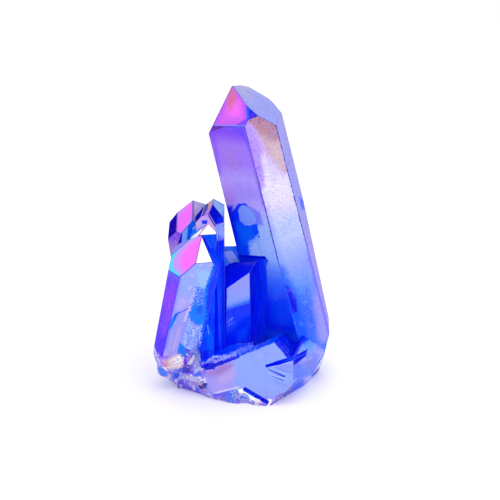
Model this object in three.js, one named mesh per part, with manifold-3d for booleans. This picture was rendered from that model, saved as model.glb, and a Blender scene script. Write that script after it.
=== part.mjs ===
// A cluster of quartz points grown together on one broken root, in millimetres, +Z up.
// Every flat face, of a point or of a break, is a plane given by three numbers:
//   turn   degrees about the point's axis, 0 facing -Y and positive towards +X
//   tilt   degrees between the axis and the face's normal, 90 on a side and about 52 on an end face
//   reach  distance from the point's foot to the plane, along the normal
// A point is the space inside all of its planes. `start` is the height its solid begins at, inside the root.

import * as THREE from 'three';
import { ConvexGeometry } from 'three/addons/geometries/ConvexGeometry.js';
import * as BufferGeometryUtils from 'three/addons/utils/BufferGeometryUtils.js';
import Module from 'manifold-3d';

// ---------------------------------------------------------------- driving dimensions

// The tall point. It leans to -X and a little forwards, and the right side of its tip is worn.
const TALL = {
  foot: [7, 3, 0],
  lean: [-13.6, -4.5],
  start: 2,
  faces: [
    // sides
    [22.7, 90.5, 5.2],
    [81.6, 89.6, 11.7],
    [140.9, 90.7, 12.8],
    [201, 90, 9],
    [261, 88.6, 3.8],
    [321.4, 90, -0.4],
    // end faces
    [20.3, 52.4, 39.8],
    [82.4, 49.6, 44.3],
    [141.3, 54.8, 45.1],
    [200.3, 52.3, 41.15],
    [260.3, 51.2, 36.6],
    [321.3, 52.7, 34.25],
    // worn tip
    [160.4, 19.45, 61.2],
    [118.8, 31, 57.5],
    [108, 47, 48.45],
    [98.4, 63.7, 36.1],
  ],
};

// The short point in front on the left. It leans to +X and forwards.
const FRONT_LEFT = {
  foot: [-16.4, -2, 0],
  lean: [11.7, -14.1],
  start: 0,
  faces: [
    // sides
    [26.6, 90.2, 1.35],
    [86.7, 90, 4.5],
    [146.7, 90, 5],
    [206.7, 90, 5],
    [266.9, 90.8, 4.8],
    [326.5, 89.7, 4.3],
    // end faces
    [26.8, 51.6, 21.6],
    [86.6, 52.1, 22.4],
    [146.7, 51.8, 24.3],
    [206.7, 51.8, 24.4],
    [266.6, 51.3, 24.2],
    [326.8, 52.2, 21.6],
  ],
};

// The upright point behind it, with one broad end face.
const BACK_LEFT = {
  foot: [-14, 3, 0],
  lean: [2, 0],
  start: 4,
  faces: [
    // sides
    [13, 104, -5.5],
    [90, 90, 4],
    [150, 90, 5],
    [220, 106.3, -6.8],
    [320.5, 87.5, 4.1],
    // end faces
    [-38, 68, 14.8],
    [-54.5, 73.3, 12],
    [34.5, 64.6, 18.3],
    [192, 63, 16.8],
  ],
};

// The upright point in the middle, with a sharp many-faced tip.
const MIDDLE = {
  foot: [-6.4, 3, 0],
  lean: [-1.8, -4],
  start: 4,
  faces: [
    // sides
    [34.4, 89.4, 4.9],
    [88.9, 91.6, 1.5],
    [150, 90, 3],
    [210, 90, 4],
    [273.6, 90.1, 3.3],
    [331.1, 88.5, 4.8],
    // end faces
    [33.7, 56.3, 24.2],
    [59.5, 50.9, 26.55],
    [187.4, 72, 11.5],
    [277.5, 55.1, 23.7],
    [293.2, 43.1, 29.8],
  ],
};

// A low step grown on the front of the middle point: four sides and three end faces.
const STEP = {
  foot: [-8, -2, 0],
  lean: [0.6, 0.4],
  start: 4,
  faces: [
    [15.2, 90, 3],
    [95, 90.8, 0.3],
    [180, 90, 4],
    [265, 95, 1],
    [16.3, 51, 24],
    [102, 42.7, 26],
    [276, 41.5, 27.7],
  ],
};

// The squat point that fills the corner in front of the tall one: four sides and two end faces.
const BLOCK = {
  foot: [-1, -1, 0],
  lean: [0, 0],
  start: 4,
  faces: [
    [9.6, 94.3, -1.3],
    [50, 92, 0.1],
    [180, 90, 6],
    [285, 90, 3.9],
    [311, 40.4, 19],
    [159, 63, 14.1],
  ],
};

// The small wedge between the middle point and the tall one: four sides and two end faces.
const WEDGE = {
  foot: [-4, 3, 0],
  lean: [0, 0],
  start: 4,
  faces: [
    [13.2, 90, -0.3],
    [60, 90, 3],
    [180, 90, 4],
    [270, 90, 1.7],
    [15.6, 45, 19.7],
    [189.4, 40, 22.8],
  ],
};

const POINTS = [TALL, FRONT_LEFT, BACK_LEFT, MIDDLE, STEP, BLOCK, WEDGE];

// The breaks round the foot, which cut the points and the root alike. Like every break they are
// measured from the origin about the vertical, so 0 faces -Y and 90 faces +X.
const SHARED_BREAKS = [
  [0, 180, 0],
  [268, 124, 12.6],
  [290, 104, 16.84],
  [323.4, 125, 8.7],
  [53, 121.7, 8.04],
  [66, 114, 9.85],
  [82, 102, 13.4],
  [87.7, 87.1, 16.75],
  [91.7, 77.7, 18.81],
  [131, 99, 17.8],
  [174, 102, 13.5],
  [218, 99, 14.5],
];

// The faces across the front of the root, from left to right.
const FRONT_BREAK = [350.7, 76.6, 9.46];
const ROOT_FRONT = [
  [321.6, 111.8, 9.5],
  [332.5, 118, 8.6],
  [345.2, 76.9, 9.54],
  FRONT_BREAK,
  [53, 81.7, 13.5],
];

// The main mass of the root has a top that rises to +X and then falls to the right-hand break.
const ROOT_TOP = [
  [234.6, 26.5, 7.63],
  [69, 45.8, 15.4],
];

// A collar of rough quartz stands round the feet of the left-hand points.
const COLLAR_TOP = [
  [329.1, 47.4, 11.77],
  [250, 12, 9.6],
  [270, 90, 12],
  [90, 90, 0.5],
  [180, 90, 4],
];

// The back of the root stands higher than the front and falls away behind the points.
const BACK_TOP = [
  [180, 40, 16.9],
  [150, 20, 15.8],
  [245, 24, 15],
  [0, 90, -5],
  [270, 90, 15],
];

// The pocket between the front break and the tall point, as the space that is cut out of the root.
const POCKET = [
  [265.9, 132.8, -13.13],
  [79.9, 134.3, -0.12],
  [0, 0, 20],
  [0, 90, 14],
  [180, 90, 6],
];

// Shallow shell-shaped hollows left by the breaks: [centre, radius of the ball that hollows them].
// The first list hollows only the root, the second also chips the points.
const ROOT_HOLLOWS = [
  [[-1.1, -33.5, 12.2], 26],
  [[-10.4, -24, 8.8], 18],
  [[22, -10.5, 4.5], 12],
];
const CHIPS = [
  [[3.5, 26.4, 1.6], 14],
  [[20.2, 15.6, 5], 10.5],
  [[-15.6, 16.8, 4.5], 10],
  [[-15.2, -7.9, 5.4], 2.3],
  [[-12.2, -7.5, 4.4], 1.9],
  [[-9.4, -8.4, 2], 1.6],
  [[-1.2, -11.2, 0.4], 2.2],
];
// How finely a hollowing ball is divided, for a ball of 1 mm radius, and the turns from each ball to the next.
const BALL_DETAIL = 1.8;
const BALL_TURN_X = 1.3;
const BALL_TURN_Z = 0.7;

// Grooves in the front break: the crack, two ridges that fan out from its tip and the chip at the bottom.
// `from` and `to` are millimetres to the right and up on the break, from the spot nearest to the origin.
const GROOVES = [
  { from: [3.9, 5.6], to: [11.4, 8.4], width: 0.9, depth: 0.5 },
  { from: [4.7, 5.3], to: [8.4, 4], width: 0.45, depth: 0.35 },
  { from: [5.1, 4.1], to: [8.2, 3.2], width: 0.22, depth: 0.2 },
  { from: [-0.2, 1.2], to: [5.3, -1.6], width: 0.9, depth: 0.6 },
];
// A groove starts as a point and has its full width after this share of its length.
const GROOVE_NECK = 0.08;
// The solid that cuts a groove stands this far clear of the surface.
const LIFT = 0.9;

const UPRIGHT = { foot: [0, 0, 0], lean: [0, 0] };

// ---------------------------------------------------------------- building blocks

const DEG = Math.PI / 180;

function axisOf(lean) {
  return new THREE.Vector3(Math.tan(lean[0] * DEG), Math.tan(lean[1] * DEG), 1).normalize();
}

// The plane of one face, as { normal, distance } with the solid on the side where normal . p < distance.
function planeOf(point, [turn, tilt, reach]) {
  const axis = axisOf(point.lean);
  const front = new THREE.Vector3(0, -1, 0);
  front.addScaledVector(axis, -front.dot(axis)).normalize();
  const outwards = front.applyAxisAngle(axis, turn * DEG);
  const normal = axis.clone().multiplyScalar(Math.cos(tilt * DEG));
  normal.addScaledVector(outwards, Math.sin(tilt * DEG));
  const foot = new THREE.Vector3(...point.foot);
  return { normal, distance: normal.dot(foot) + reach };
}

// Corners closer than this are one corner, and planes closer to parallel than this have none.
const SAME_POINT = 1e-4;
const SAME_CORNER = 1e-3;
const PARALLEL = 1e-6;

// The corner where three planes meet, or null where they are close to parallel.
function cornerOf(a, b, c) {
  const bc = new THREE.Vector3().crossVectors(b.normal, c.normal);
  const volume = a.normal.dot(bc);
  if (Math.abs(volume) < PARALLEL) return null;
  const ca = new THREE.Vector3().crossVectors(c.normal, a.normal);
  const ab = new THREE.Vector3().crossVectors(a.normal, b.normal);
  const corner = bc.multiplyScalar(a.distance);
  corner.addScaledVector(ca, b.distance);
  corner.addScaledVector(ab, c.distance);
  return corner.divideScalar(volume);
}

// The convex solid inside a set of planes.
function solidInside(planes) {
  const corners = [];
  for (let i = 0; i < planes.length; i += 1) {
    for (let j = i + 1; j < planes.length; j += 1) {
      for (let k = j + 1; k < planes.length; k += 1) {
        const corner = cornerOf(planes[i], planes[j], planes[k]);
        if (!corner) continue;
        const inside = planes.every((plane) => plane.normal.dot(corner) <= plane.distance + SAME_POINT);
        const known = corners.some((other) => other.distanceTo(corner) < SAME_CORNER);
        if (inside && !known) corners.push(corner);
      }
    }
  }
  return new ConvexGeometry(corners);
}

const wasm = await Module();
wasm.setup();

function toManifold(geometry) {
  const bare = geometry.clone();
  bare.deleteAttribute('normal');
  bare.deleteAttribute('uv');
  const merged = BufferGeometryUtils.mergeVertices(bare, SAME_POINT);
  const mesh = new wasm.Mesh({
    numProp: 3,
    vertProperties: new Float32Array(merged.attributes.position.array),
    triVerts: new Uint32Array(merged.index.array),
  });
  return new wasm.Manifold(mesh);
}

function toGeometry(manifold) {
  const mesh = manifold.getMesh();
  const geometry = new THREE.BufferGeometry();
  geometry.setAttribute('position', new THREE.BufferAttribute(mesh.vertProperties, 3));
  geometry.setIndex(new THREE.BufferAttribute(mesh.triVerts, 1));
  return geometry;
}

// ---------------------------------------------------------------- the cluster

function quartzPoint(point) {
  const planes = point.faces.map((face) => planeOf(point, face));
  planes.push(...SHARED_BREAKS.map((face) => planeOf(UPRIGHT, face)));
  planes.push({ normal: new THREE.Vector3(0, 0, -1), distance: -point.start });
  return toManifold(solidInside(planes));
}

function massInside(faces) {
  return toManifold(solidInside(faces.map((face) => planeOf(UPRIGHT, face))));
}

// Cuts a hollow for each ball. Each ball is turned differently so no two hollows match.
function hollowOut(solid, balls) {
  balls.forEach(([centre, radius], index) => {
    const detail = Math.round(Math.sqrt(radius) * BALL_DETAIL);
    const ball = new THREE.IcosahedronGeometry(radius, detail);
    ball.rotateX(BALL_TURN_X * index);
    ball.rotateZ(BALL_TURN_Z * index);
    ball.translate(...centre);
    solid = solid.subtract(toManifold(ball));
  });
  return solid;
}

// The spot on the front break that is so far to the right and up on it.
function onBreak([right, up]) {
  const { normal, distance } = planeOf(UPRIGHT, FRONT_BREAK);
  const rise = new THREE.Vector3(0, 0, 1).addScaledVector(normal, -normal.z).normalize();
  const across = new THREE.Vector3().crossVectors(rise, normal);
  const spot = normal.clone().multiplyScalar(distance);
  return spot.addScaledVector(across, right).addScaledVector(rise, up);
}

// A V-shaped groove in the front break. Its open side stands clear of the surface by `LIFT`.
function groove({ from, to, width, depth }) {
  const out = planeOf(UPRIGHT, FRONT_BREAK).normal;
  const start = onBreak(from);
  const end = onBreak(to);
  const along = end.clone().sub(start).normalize();
  const across = new THREE.Vector3().crossVectors(out, along);
  const halfWidth = (width / 2) * (1 + LIFT / depth);
  const corners = [start.clone().addScaledVector(out, LIFT)];
  for (const share of [GROOVE_NECK, 1]) {
    const middle = start.clone().lerp(end, share);
    const above = middle.clone().addScaledVector(out, LIFT);
    corners.push(above.clone().addScaledVector(across, halfWidth));
    corners.push(above.clone().addScaledVector(across, -halfWidth));
    corners.push(middle.clone().addScaledVector(out, -depth));
  }
  return toManifold(new ConvexGeometry(corners));
}

function brokenRoot() {
  const main = massInside([...SHARED_BREAKS, ...ROOT_FRONT, ...ROOT_TOP]);
  const collar = massInside([...SHARED_BREAKS, ...ROOT_FRONT, ...COLLAR_TOP]);
  const back = massInside([...SHARED_BREAKS, ...BACK_TOP]);
  const root = main.subtract(massInside(POCKET)).add(collar).add(back);
  return hollowOut(root, ROOT_HOLLOWS);
}

function cluster() {
  let solid = brokenRoot();
  for (const point of POINTS) {
    solid = solid.add(quartzPoint(point));
  }
  solid = hollowOut(solid, CHIPS);
  for (const spec of GROOVES) {
    solid = solid.subtract(groove(spec));
  }
  return solid;
}

const geometry = toGeometry(cluster());
geometry.computeBoundingBox();
const box = geometry.boundingBox;
geometry.translate(-(box.min.x + box.max.x) / 2, -(box.min.y + box.max.y) / 2, -box.min.z);
geometry.computeVertexNormals();

const crystal = new THREE.MeshStandardMaterial({ color: 0x5a78f0, roughness: 0.15, flatShading: true });
const mesh = new THREE.Mesh(geometry, crystal);
mesh.name = 'quartz_cluster';

const group = new THREE.Group();
group.add(mesh);

export default group;
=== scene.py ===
"""The looks of an aqua aura quartz cluster: seven clear points on a broken root, under a metal film.

Shapes are written in millimetres, as in the part's own source, and made in metres in the frame's axes.
A face is [turn, tilt, reach, film]: turn about the point's axis (0 faces -Y, positive towards +X), tilt from
the axis to the face's normal, reach from the point's foot, and the name of the colour film that lies on it.
"""
import math

import bmesh
import bpy
import numpy as np
from mathutils import Matrix, Vector, noise
from mathutils.bvhtree import BVHTree


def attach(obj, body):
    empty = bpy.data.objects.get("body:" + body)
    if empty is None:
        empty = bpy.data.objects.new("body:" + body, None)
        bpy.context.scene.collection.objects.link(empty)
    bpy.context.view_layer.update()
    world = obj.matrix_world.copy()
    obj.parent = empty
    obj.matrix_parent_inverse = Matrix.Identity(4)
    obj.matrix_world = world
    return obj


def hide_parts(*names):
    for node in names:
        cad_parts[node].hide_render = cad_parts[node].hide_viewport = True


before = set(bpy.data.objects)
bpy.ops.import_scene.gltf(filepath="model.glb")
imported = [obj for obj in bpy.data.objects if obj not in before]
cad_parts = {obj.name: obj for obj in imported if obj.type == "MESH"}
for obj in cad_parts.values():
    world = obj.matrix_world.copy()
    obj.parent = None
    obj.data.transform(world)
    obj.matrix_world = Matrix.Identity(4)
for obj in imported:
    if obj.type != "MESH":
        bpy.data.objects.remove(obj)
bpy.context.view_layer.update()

MM = 0.001

# ---------------------------------------------------------------- shapes, in millimetres and degrees

# The tall leaning point. Its last four faces are the worn side of the tip.
TALL = {
    "foot": (7, 3, 0),
    "lean": (-13.6, -4.5),
    "start": 2,
    "faces": [
        [22.7, 90.5, 5.2, "tall_front"],
        [81.6, 89.6, 11.7, "tall_right"],
        [140.9, 90.7, 12.8, "tall_back_right"],
        [201, 90, 9, "tall_back"],
        [261, 88.6, 3.8, "tall_back_left"],
        [321.4, 90, -0.4, "tall_left"],
        [20.3, 52.4, 39.8, "tall_top_front"],
        [82.4, 49.6, 44.3, "tall_top_right"],
        [141.3, 54.8, 45.1, "tall_top_back_right"],
        [200.3, 52.3, 41.15, "tall_top_back"],
        [260.3, 51.2, 36.6, "tall_top_back_left"],
        [321.3, 52.7, 34.25, "tall_top_left"],
        [160.4, 19.45, 61.2, "tall_top_right"],
        [118.8, 31, 57.5, "tall_top_right"],
        [108, 47, 48.45, "tall_top_right"],
        [98.4, 63.7, 36.1, "tall_top_right"],
    ],
}

# The point in front on the left, on a shattered foot.
FRONT_LEFT = {
    "foot": (-16.4, -2, 0),
    "lean": (11.7, -14.1),
    "start": 9.4,
    "faces": [
        [26.6, 90.2, 1.35, "left_front"],
        [86.7, 90, 4.5, "blue_side"],
        [146.7, 90, 5, "blue_side"],
        [206.7, 90, 5, "violet_side"],
        [266.9, 90.8, 4.8, "violet_side"],
        [326.5, 89.7, 4.3, "left_violet"],
        [26.8, 51.6, 21.6, "left_glint"],
        [86.6, 52.1, 22.4, "left_dark"],
        [146.7, 51.8, 24.3, "navy_end"],
        [206.7, 51.8, 24.4, "rose_end"],
        [266.6, 51.3, 24.2, "left_stripe"],
        [326.8, 52.2, 21.6, "left_magenta"],
    ],
}

# The point behind it, which is a little taller.
BACK_LEFT = {
    "foot": (-14, 3, 0),
    "lean": (2, 0),
    "start": 4,
    "faces": [
        [13, 104, -5.5, "back_bands"],
        [90, 90, 4, "blue_side"],
        [150, 90, 5, "violet_side"],
        [220, 106.3, -6.8, "rose_side"],
        [320.5, 87.5, 4.1, "back_tan"],
        [-38, 68, 14.8, "back_pink"],
        [-54.5, 73.3, 12, "back_violet"],
        [34.5, 64.6, 18.3, "back_grey"],
        [192, 63, 16.8, "gold_end"],
    ],
}

# The point between those two and the tall one.
MIDDLE = {
    "foot": (-6.4, 3, 0),
    "lean": (-1.8, -4),
    "start": 4,
    "faces": [
        [34.4, 89.4, 4.9, "middle_front"],
        [88.9, 91.6, 1.5, "blue_side"],
        [150, 90, 3, "violet_side"],
        [210, 90, 4, "blue_side"],
        [273.6, 90.1, 3.3, "violet_side"],
        [331.1, 88.5, 4.8, "middle_lavender"],
        [33.7, 56.3, 24.2, "middle_navy"],
        [59.5, 50.9, 26.55, "middle_pale"],
        [187.4, 72, 11.5, "rose_end"],
        [277.5, 55.1, 23.7, "middle_violet"],
        [293.2, 43.1, 29.8, "middle_pink"],
    ],
}

# The narrow crystal in front of the middle point.
STEP = {
    "foot": (-8, -2, 0),
    "lean": (0.6, 0.4),
    "start": 4,
    "faces": [
        [15.2, 90, 3, "step_front"],
        [95, 90.8, 0.3, "blue_side"],
        [180, 90, 4, "blue_side"],
        [265, 95, 1, "step_front"],
        [16.3, 51, 24, "step_glint"],
        [102, 42.7, 26, "middle_lavender"],
        [276, 41.5, 27.7, "step_left_glint"],
    ],
}

# The squat block against the front left of the tall point.
BLOCK = {
    "foot": (-1, -1, 0),
    "lean": (0, 0),
    "start": 4,
    "faces": [
        [9.6, 94.3, -1.3, "block_front"],
        [50, 92, 0.1, "block_side"],
        [180, 90, 6, "blue_side"],
        [285, 90, 3.9, "blue_side"],
        [311, 40.4, 19, "block_top_dark_reflection"],
        [159, 63, 14.1, "block_top_dark_reflection"],
    ],
}

# The small block between the middle point and the tall one, set back.
WEDGE = {
    "foot": (-4, 3, 0),
    "lean": (0, 0),
    "start": 4,
    "faces": [
        [13.2, 90, -0.3, "wedge_front"],
        [60, 90, 3, "blue_side"],
        [180, 90, 4, "blue_side"],
        [270, 90, 1.7, "blue_side"],
        [15.6, 45, 19.7, "wedge_roof"],
        [189.4, 40, 22.8, "violet_side"],
    ],
}

POINTS = [TALL, FRONT_LEFT, BACK_LEFT, MIDDLE, STEP, BLOCK, WEDGE]

UPRIGHT = {"foot": (0, 0, 0), "lean": (0, 0)}

# A break is a face too, measured from the origin. These go round the foot, and cut points and root alike.
SHARED_BREAKS = [
    [0, 180, 0, "underside"],
    [268, 124, 12.6, "root"],
    [290, 104, 16.84, "root"],
    [323.4, 125, 8.7, "root"],
    [53, 121.7, 8.04, "root"],
    [66, 114, 9.85, "root"],
    [82, 102, 13.4, "root"],
    [87.7, 87.1, 16.75, "root"],
    [91.7, 77.7, 18.81, "root"],
    [131, 99, 17.8, "root"],
    [174, 102, 13.5, "root"],
    [218, 99, 14.5, "root"],
]
# The broad front break is two flat faces, rosy on the left and pale on the right.
PINK_BREAK = [345.2, 76.9, 9.54, "root"]
PALE_BREAK = [350.7, 76.6, 9.46, "root"]
ROOT_FRONT = [
    [321.6, 111.8, 9.5, "root"],
    [332.5, 118, 8.6, "root"],
    PINK_BREAK,
    PALE_BREAK,
    [53, 81.7, 13.5, "root"],
]
# Tops of the root's main mass, of the collar round the feet of the points, and of the back.
ROOT_TOP = [
    [234.6, 26.5, 7.63, "root"],
    [69, 45.8, 15.4, "root"],
]
COLLAR_TOP = [
    [329.1, 47.4, 11.77, "root"],
    [250, 12, 9.6, "root"],
    [270, 90, 12, "root"],
    [90, 90, 0.5, "root"],
    [180, 90, 4, "root"],
]
BACK_TOP = [
    [180, 40, 16.9, "root"],
    [150, 20, 15.8, "root"],
    [245, 24, 15, "root"],
    [0, 90, -5, "root"],
    [270, 90, 15, "root"],
]
# A pocket cut down into the top of the root, between two sloping sides.
POCKET = [
    [265.9, 132.8, -13.13, "root"],
    [79.9, 134.3, -0.12, "root"],
    [0, 0, 20, "root"],
    [0, 90, 14, "root"],
    [180, 90, 6, "root"],
]
# Round hollows in the root: centre and radius.
ROOT_HOLLOWS = [
    [(-1.1, -33.5, 12.2), 26],
    [(-10.4, -24, 8.8), 18],
    [(22, -10.5, 4.5), 12],
]
# Round chips out of the whole cluster: centre, radius and film.
CHIPS = [
    [(3.5, 26.4, 1.6), 14, "root"],
    [(20.2, 15.6, 5), 10.5, "root"],
    [(-15.6, 16.8, 4.5), 10, "root"],
    [(-15.2, -7.9, 5.4), 2.3, "left_chips"],
    [(-12.2, -7.5, 4.4), 1.9, "left_chips"],
    [(-9.4, -8.4, 2), 1.6, "left_chips"],
    [(-1.2, -11.2, 0.4), 2.2, "left_chips"],
]
# Grooves in the front break: from and to as (right, up) on the break, then width, depth and film.
GROOVES = [
    [(3.9, 5.6), (11.4, 8.4), 0.9, 0.5, "groove_blue"],
    [(4.7, 5.3), (8.4, 4.0), 0.45, 0.35, "groove_soft"],
    [(5.1, 4.1), (8.2, 3.2), 0.22, 0.2, "groove_soft"],
    [(-0.2, 1.2), (5.3, -1.6), 0.9, 0.6, "groove_blue"],
]

BEVEL = 0.06  # wear on the edges of the points
ROOT_GRID = 0.24  # spacing of the root's fine grid
LIFT = 0.9  # how far a groove's tool stands out of the break
FAR = 90.0  # beyond the whole cluster
FOOT_TOP = 10.4  # the front-left point is shattered below this height
GROOVE_NECK = 0.08  # share of a groove's length over which it widens
SAME_PLANE = 1e-5  # a corner this close to a cut lies on it
SAME_CORNER = 1e-3  # corners this close are one
TINY = 1e-9  # keeps a length from being 0
BALL_DIVISIONS = 4  # how often a ball's faces are split in four
BALL_TURN = 1.3  # radians between one ball's grid and the next, so that their corners don't meet


def axis_of(lean):
    """The unit vector up a point that leans by these degrees, to the right and away."""
    right, away = (math.tan(math.radians(angle)) for angle in lean)
    return Vector((right, away, 1)).normalized()


def normal_of(point, face):
    """The outward normal of a face of the point."""
    axis = axis_of(point["lean"])
    front = Vector((0, -1, 0))
    front = (front - axis * front.dot(axis)).normalized()
    turn, tilt = math.radians(face[0]), math.radians(face[1])
    outwards = Matrix.Rotation(turn, 3, axis) @ front
    return axis * math.cos(tilt) + outwards * math.sin(tilt)


def face_axes(point, normal):
    """Unit vectors to the right and up the point, in the plane with this normal."""
    axis = axis_of(point["lean"])
    up = (axis - normal * axis.dot(normal)).normalized()
    return up.cross(normal), up


def distance_of(point, face):
    """How far the face's plane lies from the origin."""
    return normal_of(point, face).dot(Vector(point["foot"])) + face[2]


def corner_of(point, first, second, third):
    """Where three faces of one point meet, in the part's own millimetres."""
    normals = [normal_of(point, face) for face in (first, second, third)]
    distances = Vector([distance_of(point, face) for face in (first, second, third)])
    return Matrix(normals).inverted() @ distances


END_FACE_TILT = 80  # faces tilted less than this are end faces


def tall_tip():
    """The highest corner of the tall point, in the part's own millimetres."""
    faces = [face for face in TALL["faces"] if face[1] < END_FACE_TILT]
    best = None
    for i, first in enumerate(faces):
        for j, second in enumerate(faces[:i]):
            for third in faces[:j]:
                try:
                    corner = corner_of(TALL, first, second, third)
                except ValueError:
                    continue
                if all(normal_of(TALL, f).dot(corner) <= distance_of(TALL, f) + SAME_CORNER for f in faces):
                    if best is None or corner.z > best.z:
                        best = corner
    return best


def highest_vertex():
    """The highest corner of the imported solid, in the frame's millimetres."""
    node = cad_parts["quartz_cluster"]
    return max((node.matrix_world @ vertex.co for vertex in node.data.vertices), key=lambda spot: spot.z) / MM


# From the part's own millimetres to the frame's: the same corner in both.
SHIFT = highest_vertex() - tall_tip()

film_names = []


def film_index(name):
    """The film's number, which is the same on every solid."""
    if name not in film_names:
        film_names.append(name)
    return film_names.index(name)


def new_object(name, bm):
    """Turns the working mesh into an object in the scene."""
    mesh = bpy.data.meshes.new(name)
    bm.to_mesh(mesh)
    bm.free()
    made = bpy.data.objects.new(name, mesh)
    bpy.context.scene.collection.objects.link(made)
    return made


def convex(name, planes, bevel=0.0):
    """The solid inside (normal, distance, film) planes, in millimetres, with its edges lightly worn."""
    bm = bmesh.new()
    bmesh.ops.create_cube(bm, size=2 * FAR)
    for normal, distance, film in planes:
        geom = bm.verts[:] + bm.edges[:] + bm.faces[:]
        cut = bmesh.ops.bisect_plane(
            bm, geom=geom, dist=SAME_PLANE, plane_co=normal * distance, plane_no=normal, clear_outer=True
        )
        rim = [item for item in cut["geom_cut"] if isinstance(item, bmesh.types.BMEdge)]
        if len(rim) < 3:  # the plane misses the solid
            continue
        filled = bmesh.ops.contextual_create(bm, geom=rim)
        for face in filled["faces"]:
            face.material_index = film_index(film)
    bmesh.ops.remove_doubles(bm, verts=bm.verts[:], dist=SAME_CORNER)
    bmesh.ops.recalc_face_normals(bm, faces=bm.faces[:])
    if bevel:
        bmesh.ops.bevel(
            bm,
            geom=bm.edges[:],
            offset=bevel,
            offset_type="OFFSET",
            segments=1,
            profile=0.5,
            affect="EDGES",
            clamp_overlap=True,
            material=film_index("worn_edge"),
        )
    return new_object(name, bm)


def planes_of(point, faces):
    """The faces as (normal, distance from the origin, film)."""
    return [(normal_of(point, face), distance_of(point, face), face[3]) for face in faces]


def boolean(target, tool, operation):
    """Cuts or joins in place and removes the tool."""
    modifier = target.modifiers.new("cut", "BOOLEAN")
    modifier.operation = operation
    modifier.solver = "MANIFOLD"
    modifier.object = tool
    bake(target)
    bpy.data.objects.remove(tool)


def bake(made):
    """Makes the object's modifiers its mesh."""
    graph = bpy.context.evaluated_depsgraph_get()
    mesh = bpy.data.meshes.new_from_object(made.evaluated_get(graph))
    made.modifiers.clear()
    made.data = mesh


def all_slots(made):
    """Gives the object one slot for each film, so that face numbers mean the same on every solid."""
    for name in film_names:
        made.data.materials.append(films[name])


def quartz_point(index, point):
    """One crystal, cut by the breaks round the foot and begun at its start height."""
    planes = planes_of(point, point["faces"])
    planes += planes_of(UPRIGHT, SHARED_BREAKS)
    planes.append((Vector((0, 0, -1)), -point["start"], "blue_side"))
    return convex(f"point_{index}", planes, BEVEL)


def ball(centre, radius, film, turn):
    bm = bmesh.new()
    bmesh.ops.create_icosphere(bm, subdivisions=BALL_DIVISIONS, radius=radius)
    bmesh.ops.rotate(bm, verts=bm.verts[:], matrix=Matrix.Rotation(BALL_TURN * turn, 3, "X"))
    bmesh.ops.translate(bm, verts=bm.verts[:], vec=centre)
    for face in bm.faces:
        face.material_index = film_index(film)
        face.smooth = True
    return new_object("ball", bm)


def on_break(right, up):
    """The spot on the front break's plane at (right, up), in the part's own millimetres."""
    normal = normal_of(UPRIGHT, PALE_BREAK)
    across, rise = face_axes(UPRIGHT, normal)
    return across * right + rise * up + normal * distance_of(UPRIGHT, PALE_BREAK)


def groove(start, end, width, depth, film):
    """A tool that cuts a V-shaped groove, pointed at its start."""
    out = normal_of(UPRIGHT, PALE_BREAK)
    start, end = on_break(*start), on_break(*end)
    across = out.cross((end - start).normalized())
    half = width / 2 * (1 + LIFT / depth)
    corners = [start + out * LIFT]
    for share in (GROOVE_NECK, 1):
        middle = start.lerp(end, share)
        top = middle + out * LIFT
        corners += [top + across * half, top - across * half, middle - out * depth]
    bm = bmesh.new()
    for corner in corners:
        bm.verts.new(corner)
    bmesh.ops.convex_hull(bm, input=bm.verts[:])
    for face in bm.faces:
        face.material_index = film_index(film)
    return new_object("groove", bm)


# Scars on the broken foot that are large enough to have a place of their own:
# a spot on the surface, half the scar's width and its depth.
SCARS = [
    [(-15.6, -5.9, 7.4), 1.5, 0.4],
    [(-12.0, -3.9, 7.2), 0.8, 0.3],
    [(-18.2, -1.6, 3.4), 0.9, 0.3],
    [(-9.6, -6.0, 1.6), 0.9, 0.35],
    [(-13.6, -3.3, 3.6), 0.8, 0.25],
    [(-1.2, -9.4, 1.4), 0.8, 0.2],
    [(1.6, -9.8, 0.8), 0.7, 0.2],
    [(4.8, -9.9, 0.8), 0.6, 0.2],
]

# ---------------------------------------------------------------- the root, with its breaks


def rough_root():
    """The root as flat breaks and round hollows alone."""

    def mass(name, faces):
        return convex(name, planes_of(UPRIGHT, faces))

    root = mass("root", SHARED_BREAKS + ROOT_FRONT + ROOT_TOP)
    boolean(root, mass("pocket", POCKET), "DIFFERENCE")
    boolean(root, mass("collar", SHARED_BREAKS + ROOT_FRONT + COLLAR_TOP), "UNION")
    boolean(root, mass("back", SHARED_BREAKS + BACK_TOP), "UNION")
    for turn, (centre, radius) in enumerate(ROOT_HOLLOWS):
        boolean(root, ball(centre, radius, "root", turn), "DIFFERENCE")
    foot = planes_of(FRONT_LEFT, FRONT_LEFT["faces"]) + planes_of(UPRIGHT, SHARED_BREAKS)
    foot.append((Vector((0, 0, 1)), FOOT_TOP, "root"))
    boolean(root, convex("foot", foot), "UNION")
    return root


def fine_root():
    """The root on an even fine grid, pulled back onto its exact shape and then broken up."""
    root = rough_root()
    bm = bmesh.new()
    bm.from_mesh(root.data)
    bmesh.ops.triangulate(bm, faces=bm.faces[:])
    exact = BVHTree.FromBMesh(bm)
    bm.free()
    modifier = root.modifiers.new("grid", "REMESH")
    modifier.mode = "VOXEL"
    modifier.voxel_size = ROOT_GRID
    bake(root)
    mesh = root.data
    for vertex in mesh.vertices:
        spot = exact.find_nearest(vertex.co)[0]
        if (spot - vertex.co).length < ROOT_GRID:
            vertex.co = spot
    break_up(mesh)
    return root


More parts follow.
